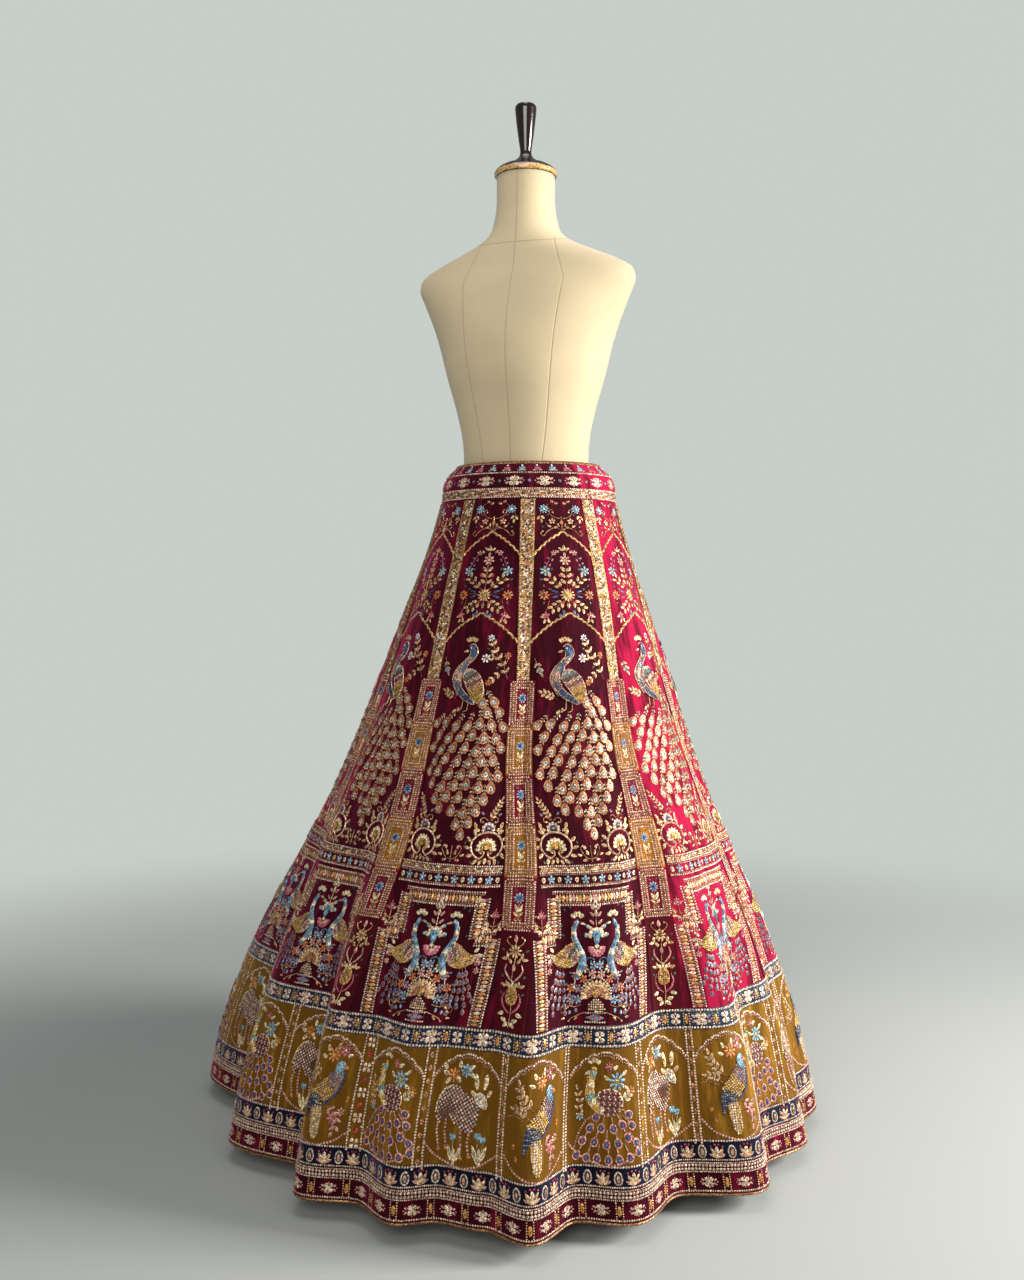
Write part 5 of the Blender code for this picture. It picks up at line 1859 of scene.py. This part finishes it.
class LEHENGA_OT_waistband(bpy.types.Operator):
    """Makes the fitted waistband and its embroidery"""

    bl_idname = "lehenga.waistband"
    bl_label = "Waistband"

    def execute(self, context):
        high, low = WAIST_TOP, WAIST_SEAM
        layers = []
        for z, size, name in ((1.0762, 0.0028, "gold"), (1.0738, 0.0022, "pale_gold"),
                              (1.0575, 0.0028, "bead"),
                              (1.032, 0.003, "bead"), (1.0185, 0.003, "bead")):
            shape, count, reference = bead_line(z, size, name)
            layers.append((shape, around(count, reference)))
        for name, offset in (("pink", 0.25), ("pale_blue", 0.75)):
            bud = joined(
                petals(mm((-2.2, 1064), (2.2, 1064), (0, 1065)), 0.0078, 0.0038, [-32, 32, 0], thread(name),
                       tip=0.2, sides=7),
                petals(mm((0, 1069.5)), 0.0034, 0.0034, 0, "white", lift=0.0004, sides=6),
                petals(mm((-4.5, 1061.5), (4.5, 1061.5)), 0.0048, 0.0022, [-70, 70], "pale_gold", sides=5),
            )
            layers.append((bud, around(18, 1.065, offset=offset)))
        layers.append((cross_bloom(0.0, 1.0445, 0.0088), around(20, 1.0445)))
        layers.append((petals(mm((0, 1044.5)), 0.005, 0.005, 0, "slate", rise=0.001),
                       around(20, 1.0445, offset=0.0)))
        for k, z in enumerate(np.arange(1.0212, 1.0305, 0.0029)):
            for start in range(11):
                shape = glitter(np.array([[0.0, z]]), 0.0033)
                own = glitter(np.zeros((11, 2)), 0.0033)[2].reshape(11, -1, 4)[start]
                kinds = np.arange(start, 264, 11) + (k * 4) % 11
                layers.append(((shape[0], shape[1], own), around(264, z, kinds, 0.5 * (k % 2))))
        work = embroidered("waistband_work", layers)
        border("waistband_cloth", low, high, 12, 260, "maroon velvet", "waistband")
        return {"FINISHED"}


class LEHENGA_OT_panels(bpy.types.Operator):
    """Makes the ten panels with the embroidery of their fields"""

    bl_idname = "lehenga.panels"
    bl_label = "Panels"

    def execute(self, context):
        upper = embroidered(
            "panel_flowers_work",
            [
                (fountain_motif(), on_panels),
                (field_arch(0.9265, 0.961, 6), on_panels),
                (flowering_bush(), on_panels),
                (field_arch(0.793, 0.835, 8), on_panels),
            ],
        )
        birds = embroidered("panel_peacocks_work", [(big_peacock(), on_panels)])
        tails = embroidered("panel_tails_work", [(peacock_tail(), on_panels), (wreaths(), on_panels)])
        frames = embroidered("panel_frames_work", [(frame_pattern(), on_panels)])
        rows, columns = 84, 30
        low, high = BLUE_TOP, WAIST_SEAM - SEAM_GAP
        for k in range(PANELS):
            z = np.broadcast_to(np.linspace(low, high, rows)[:, None], (rows, columns))
            inset = 0.5 * SEAM_GAP / CLOTH.whole(z)
            across = np.broadcast_to(np.linspace(0.0, 1.0, columns), (rows, columns))
            share = (k + across) / PANELS + inset * (1 - 2 * across)
            flat = (across - 0.5) * CLOTH.whole(z) / PANELS + PANEL_STEP * k
            piece = shell(f"kali_{k + 1:02d}_cloth", share, z, finish("maroon velvet"), across=flat)
            cut, area = cut_of(low, high, k / PANELS, 1.0 / PANELS)
            declared(piece, [f"kali_{k + 1:02d}"], cut, area)
        return {"FINISHED"}


class LEHENGA_OT_seam_strips(bpy.types.Operator):
    """Makes the gold strips over the upper seams"""

    bl_idname = "lehenga.seam_strips"
    bl_label = "Seam strips"

    def execute(self, context):
        work = embroidered("seam_strips_work", [(strip_pattern(), on_seams)], LAID_RISE)
        for k in range(PANELS):
            laid_strip(
                f"seam_strip_{k + 1:02d}", STRIP_END, WAIST_SEAM - SEAM_GAP,
                lambda z: np.full_like(z, STRIP_HALF),
                k, (60, 7), "needlework",
                np.tile(thread("gold", 0.7), (60, 7, 1))
            )
        return {"FINISHED"}


class LEHENGA_OT_tile_columns(bpy.types.Operator):
    """Makes the tiled columns over the lower seams"""

    bl_idname = "lehenga.tile_columns"
    bl_label = "Tile columns"

    def execute(self, context):
        cloth = context.scene.lehenga_cloth
        layers = []
        for i in range(5):
            layers.append((moved(column_tile(), y=STRIP_END - (i + 0.5) * TILE_PITCH), on_columns))
        layers.append((vine_pattern(), on_columns))
        work = embroidered("tile_columns_work", layers, LAID_RISE)
        low, high = BLUE_TOP, STRIP_END - SEAM_GAP
        rows = 150
        z = np.linspace(low, high, rows)
        row = np.floor((STRIP_END - z) / TILE_PITCH)
        orange = (row < 5) & (row % 2 == 1)
        ground = np.where(orange[:, None], [*cloth.tile_orange, 0.0], [*cloth.tile_crimson, 0.0])
        vine_ground = [VINE_SHADE * c for c in cloth.tile_crimson]
        ground = np.where(row[:, None] < 5, ground, [*vine_ground, 0.0])
        ground = np.repeat(ground[:, None, :], 9, axis=1)
        for k in range(PANELS):
            laid_strip(
                f"tile_column_{k + 1:02d}", low, high, tile_half, k, (rows, 9), "tile velvet",
                ground
            )
        return {"FINISHED"}


def laid_strip(name, low, high, half, k, grid, finish_name, ground):
    """A strip sewn over seam k: the surface across the seam as a thin wall that lies on the panels."""
    rows, columns = grid
    z = np.broadcast_to(np.linspace(low, high, rows)[:, None], (rows, columns))
    across = np.broadcast_to(np.linspace(-1.0, 1.0, columns), (rows, columns)) * half(z)
    share = k / PANELS + across / CLOTH.whole(z)
    piece = shell(f"{name}_cloth", share, z, finish(finish_name), lift=WALL / 2 + LAID_GAP + LAID_WALL / 2,
                  wall=LAID_WALL, colours=ground, across=across + STRIP_STEP * k)
    line = CLOTH.at(np.full(rows, k / PANELS), z[:, 0], 0.0)
    steps = np.linalg.norm(np.diff(line, axis=0), axis=1)
    wide = 2 * half(z[:, 0])
    area = float(np.sum((wide[1:] + wide[:-1]) / 2 * steps))
    declared(piece, [name], (float(wide.max()), float(steps.sum())), area)


class LEHENGA_OT_middle_borders(bpy.types.Operator):
    """Makes the border across each panel above its frame"""

    bl_idname = "lehenga.middle_borders"
    bl_label = "Middle borders"

    def execute(self, context):
        work = embroidered("middle_borders_work", [(middle_pattern(), on_panels)], LAID_RISE)
        rows, columns = 12, 40
        for k in range(PANELS):
            z = np.broadcast_to(np.linspace(MIDDLE_LOW, MIDDLE_TOP, rows)[:, None], (rows, columns))
            whole = CLOTH.whole(z)
            half = whole / PANELS / 2 - tile_half(z) - SEAM_GAP
            across = np.broadcast_to(np.linspace(-1.0, 1.0, columns), (rows, columns)) * half
            share = (k + 0.5) / PANELS + across / whole
            piece = shell(f"middle_border_{k + 1:02d}_cloth", share, z, finish("maroon velvet"),
                          lift=WALL / 2 + LAID_GAP + LAID_WALL / 2, wall=LAID_WALL,
                          across=across + PANEL_STEP * k)
            high = cut_of(MIDDLE_LOW, MIDDLE_TOP, k / PANELS, 1.0 / PANELS)[0][1]
            wide = float(2 * half.max())
            declared(piece, [f"middle_border_{k + 1:02d}"], (wide, high),
                     wide * high * 0.99)
        return {"FINISHED"}


class LEHENGA_OT_blue_border(bpy.types.Operator):
    """Makes the blue border and its flowers"""

    bl_idname = "lehenga.blue_border"
    bl_label = "Blue border"

    def execute(self, context):
        count, reference = 38, 0.26
        pitch = float(CLOTH.whole(reference)) / count
        layers = [(blue_repeat(pitch), around(count, reference))]
        for z, size in ((0.2715, 0.0038), (0.2485, 0.0038)):
            shape, beads_round, where = bead_line(z, size)
            layers.append((shape, around(beads_round, where)))
        work = embroidered("blue_border_work", layers)
        border("blue_border_cloth", MUSTARD_TOP, BLUE_TOP - SEAM_GAP, 6, 560, "blue velvet",
               "blue_border")
        return {"FINISHED"}


class LEHENGA_OT_mustard_border(bpy.types.Operator):
    """Makes the figured border: deer, parrots and peacocks under beaded arches"""

    bl_idname = "lehenga.mustard_border"
    bl_label = "Figured border"

    def execute(self, context):
        middle = 0.1715
        every = np.arange(TILES)
        layers = [(moved(tile_frame(), y=middle), around(TILES, 0.17))]
        for kind, shape in enumerate((parrot(), peacock_tile(), deer())):
            layers.append((moved(shape, y=middle), around(TILES, 0.17, every[every % 3 == kind])))
        wide = (every % 3 == 1) & (every // 3 % 2 == 0) & (every > 1)
        for kinds, shape in (
            (every[every % 3 == 0], divider(0.0085, False)),
            (every[(every % 3 == 1) & ~wide], divider(0.005, False)),
            (every[wide], divider(0.02, True)),
            (every[every % 3 == 2], divider(0.0125, False)),
        ):
            layers.append((moved(shape, y=middle), around(TILES, 0.17, kinds, 0.0)))
        work = embroidered("figured_border_work", layers)
        border("mustard_border_cloth", NAVY_TOP, MUSTARD_TOP - SEAM_GAP, 16, 560, "mustard velvet",
               "mustard_border")
        return {"FINISHED"}


class LEHENGA_OT_navy_band(bpy.types.Operator):
    """Makes the navy band with its lotus row"""

    bl_idname = "lehenga.navy_band"
    bl_label = "Navy band"

    def execute(self, context):
        count, reference = 78, 0.086
        pitch = float(CLOTH.whole(reference)) / count
        layers = [(navy_repeat(pitch), around(count, reference))]
        for z, size in ((0.0998, 0.0034), (0.0746, 0.0026)):
            shape, beads_round, where = bead_line(z, size)
            layers.append((shape, around(beads_round, where)))
        work = embroidered("navy_band_work", layers)
        border("navy_band_cloth", HEM_TOP, NAVY_TOP - SEAM_GAP, 5, 560, "navy velvet",
               "navy_band")
        return {"FINISHED"}


class LEHENGA_OT_hem_band(bpy.types.Operator):
    """Makes the maroon band at the hem with its beads and flowers"""

    bl_idname = "lehenga.hem_band"
    bl_label = "Hem band"

    def execute(self, context):
        count, reference = 66, 0.045
        pitch = float(CLOTH.whole(reference)) / count
        layers = [(hem_repeat(pitch), around(count, reference))]
        for z, size in ((0.0706, 0.0024), (0.0672, 0.0044), (0.0624, 0.0044), (0.0588, 0.0024),
                        (0.0334, 0.003)):
            shape, beads_round, where = bead_line(z, size)
            layers.append((shape, around(beads_round, where)))
        work = embroidered("hem_band_work", layers)
        border("hem_band_cloth", PIPING_TOP, HEM_TOP - SEAM_GAP, 6, 560, "maroon velvet",
               "hem_band")
        return {"FINISHED"}


class LEHENGA_OT_piping(bpy.types.Operator):
    """Makes the twisted gold piping under the hem"""

    bl_idname = "lehenga.piping"
    bl_label = "Hem piping"

    def execute(self, context):
        columns, sides = 1500, 6
        middle, radius = (PIPING_TOP + HEM) / 2, 0.00195
        share = (np.arange(columns) / columns)[:, None]
        a = np.arange(sides)[None, :] * 2 * np.pi / sides
        twist = share * 2 * np.pi * 250
        own = radius * (1.0 + 0.12 * np.cos(2 * (a - twist)))
        line = CLOTH.at(np.broadcast_to(share, (columns, sides)), np.full((columns, sides), middle), 0.0)
        outer = CLOTH.at(np.broadcast_to(share, (columns, sides)), np.full((columns, sides), middle),
                         1.0) - line
        points = line + outer * (own * np.cos(a))[..., None]
        points[..., 2] += own * np.sin(a)
        faces = grid_faces(columns + 1, sides, closed=True) % (columns * sides)
        tones = np.where((np.cos(2 * (a - twist)) > 0)[..., None], thread("gold", 0.8), thread("bronze"))
        piece = made("hem_piping_cord", points.reshape(-1, 3), faces, finish("needlework"),
                     tones.reshape(-1, 4))
        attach(piece, "root")
        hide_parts("hem_piping")
        return {"FINISHED"}


class LEHENGA_OT_form(bpy.types.Operator):
    """Makes the padded, calico-covered form"""

    bl_idname = "lehenga.form"
    bl_label = "Form"

    def execute(self, context):
        rows, columns = 110, 100
        z = np.linspace(FORM_SECTIONS[0][0], FORM_SECTIONS[-1][0], rows)[:, None]
        a = np.arange(columns)[None, :] * 2 * np.pi / columns
        wide = curve_through(FORM_SECTIONS, 1, z)
        deep = curve_through(FORM_SECTIONS, 2, z)
        points = np.stack(np.broadcast_arrays(wide * np.cos(a), deep * np.sin(a), z), axis=-1).reshape(-1,
                                                                                                       3)
        ends = np.array([[0.0, 0.0, z[0, 0]], [0.0, 0.0, z[-1, 0]]])
        points = np.vstack([points, ends])
        body = grid_faces(rows, columns, closed=True)
        k = np.arange(columns)
        after = (k + 1) % columns
        foot, top = rows * columns, rows * columns + 1
        last = (rows - 1) * columns
        triangles = np.vstack([body[:, [0, 1, 2]], body[:, [0, 2, 3]],
                               np.column_stack([np.full(columns, foot), after, k]),
                               np.column_stack([np.full(columns, top), last + k, last + after])])
        piece = made("form_torso_cover", points, triangles, finish("calico"), sharp=50.0)
        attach(piece, "root")
        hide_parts("form_torso")
        return {"FINISHED"}


class LEHENGA_OT_turned(bpy.types.Operator):
    """Makes the turned cap and handle, the pole and the base"""

    bl_idname = "lehenga.turned"
    bl_label = "Turned pieces"

    def execute(self, context):
        pieces = (
            ("form_neck_cap", "neck_cap_turned", "wood", "dark_wood", 64),
            ("form_finial", "finial_turned", "wood", "dark_wood", 64),
            ("form_pole", "pole_tube", "steel", "painted_steel", 32),
            ("form_base", "base_plate", "steel", "painted_steel", 96),
        )
        for name, label, finish_name, slot, columns in pieces:
            piece = lathe(label, np.array(TURNED[name]), columns, finish_name, rim=name == "form_neck_cap")
            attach(piece, "root")
            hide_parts(name)
        return {"FINISHED"}


def lathe(name, profile, columns, finish_name, rim=False):
    """A profile of (radius, height) turned about the pole's axis, with finer points between its own."""
    reach = np.concatenate([[0.0], np.cumsum(np.linalg.norm(np.diff(profile, axis=0), axis=1))])
    fine = np.unique(np.concatenate([reach[1:-1], np.linspace(reach[1], reach[-2], 60)]))
    radius, height = np.interp(fine, reach, profile[:, 0]), np.interp(fine, reach, profile[:, 1])
    a = np.arange(columns) * 2 * np.pi / columns
    grid = np.stack(
        [radius[:, None] * np.cos(a), radius[:, None] * np.sin(a),
         np.broadcast_to(height[:, None], (len(fine), columns))],
        axis=-1,
    ).reshape(-1, 3)
    rows = len(fine)
    points = np.vstack([grid, [[0.0, 0.0, profile[0, 1]], [0.0, 0.0, profile[-1, 1]]]])
    body = grid_faces(rows, columns, closed=True)
    k = np.arange(columns)
    after = (k + 1) % columns
    last = (rows - 1) * columns
    faces = np.vstack([body[:, [0, 1, 2]], body[:, [0, 2, 3]],
                       np.column_stack([np.full(columns, rows * columns), after, k]),
                       np.column_stack([np.full(columns, rows * columns + 1), last + k, last + after])])
    worn = np.zeros(len(points))
    if rim:
        worn[:-2] = np.repeat(np.clip((radius - 0.0495) / 0.002, 0, 1), columns)
    tones = np.column_stack([worn, worn, worn, np.ones(len(points))])
    return made(name, points, faces, finish(finish_name), tones, sharp=32.0)


OPERATORS = (
    LEHENGA_OT_stage,
    LEHENGA_OT_form,
    LEHENGA_OT_turned,
    LEHENGA_OT_waistband,
    LEHENGA_OT_panels,
    LEHENGA_OT_seam_strips,
    LEHENGA_OT_tile_columns,
    LEHENGA_OT_middle_borders,
    LEHENGA_OT_blue_border,
    LEHENGA_OT_mustard_border,
    LEHENGA_OT_navy_band,
    LEHENGA_OT_hem_band,
    LEHENGA_OT_piping,
)


class LEHENGA_PT_panel(bpy.types.Panel):
    """Lists the pieces and their settings"""

    bl_idname = "LEHENGA_PT_panel"
    bl_label = "Lehenga"
    bl_space_type = "VIEW_3D"
    bl_region_type = "UI"
    bl_category = "Lehenga"

    def draw(self, context):
        for name in ("lehenga_cloth", "lehenga_stand", "lehenga_stage"):
            group = getattr(context.scene, name)
            for key in group.__annotations__:
                self.layout.prop(group, key)
        for operator in OPERATORS:
            self.layout.operator(operator.bl_idname)


CLASSES = (LehengaCloth, LehengaStand, LehengaStage, *OPERATORS, LEHENGA_PT_panel)


def register():
    for cls in CLASSES:
        bpy.utils.register_class(cls)
    bpy.types.Scene.lehenga_cloth = bpy.props.PointerProperty(type=LehengaCloth)
    bpy.types.Scene.lehenga_stand = bpy.props.PointerProperty(type=LehengaStand)
    bpy.types.Scene.lehenga_stage = bpy.props.PointerProperty(type=LehengaStage)


def unregister():
    for name in ("lehenga_cloth", "lehenga_stand", "lehenga_stage"):
        delattr(bpy.types.Scene, name)
    for cls in reversed(CLASSES):
        bpy.utils.unregister_class(cls)


def main():
    register()
    for operator in OPERATORS:
        group, _, name = operator.bl_idname.partition(".")
        getattr(getattr(bpy.ops, group), name)()


if __name__ == "__main__":
    main()
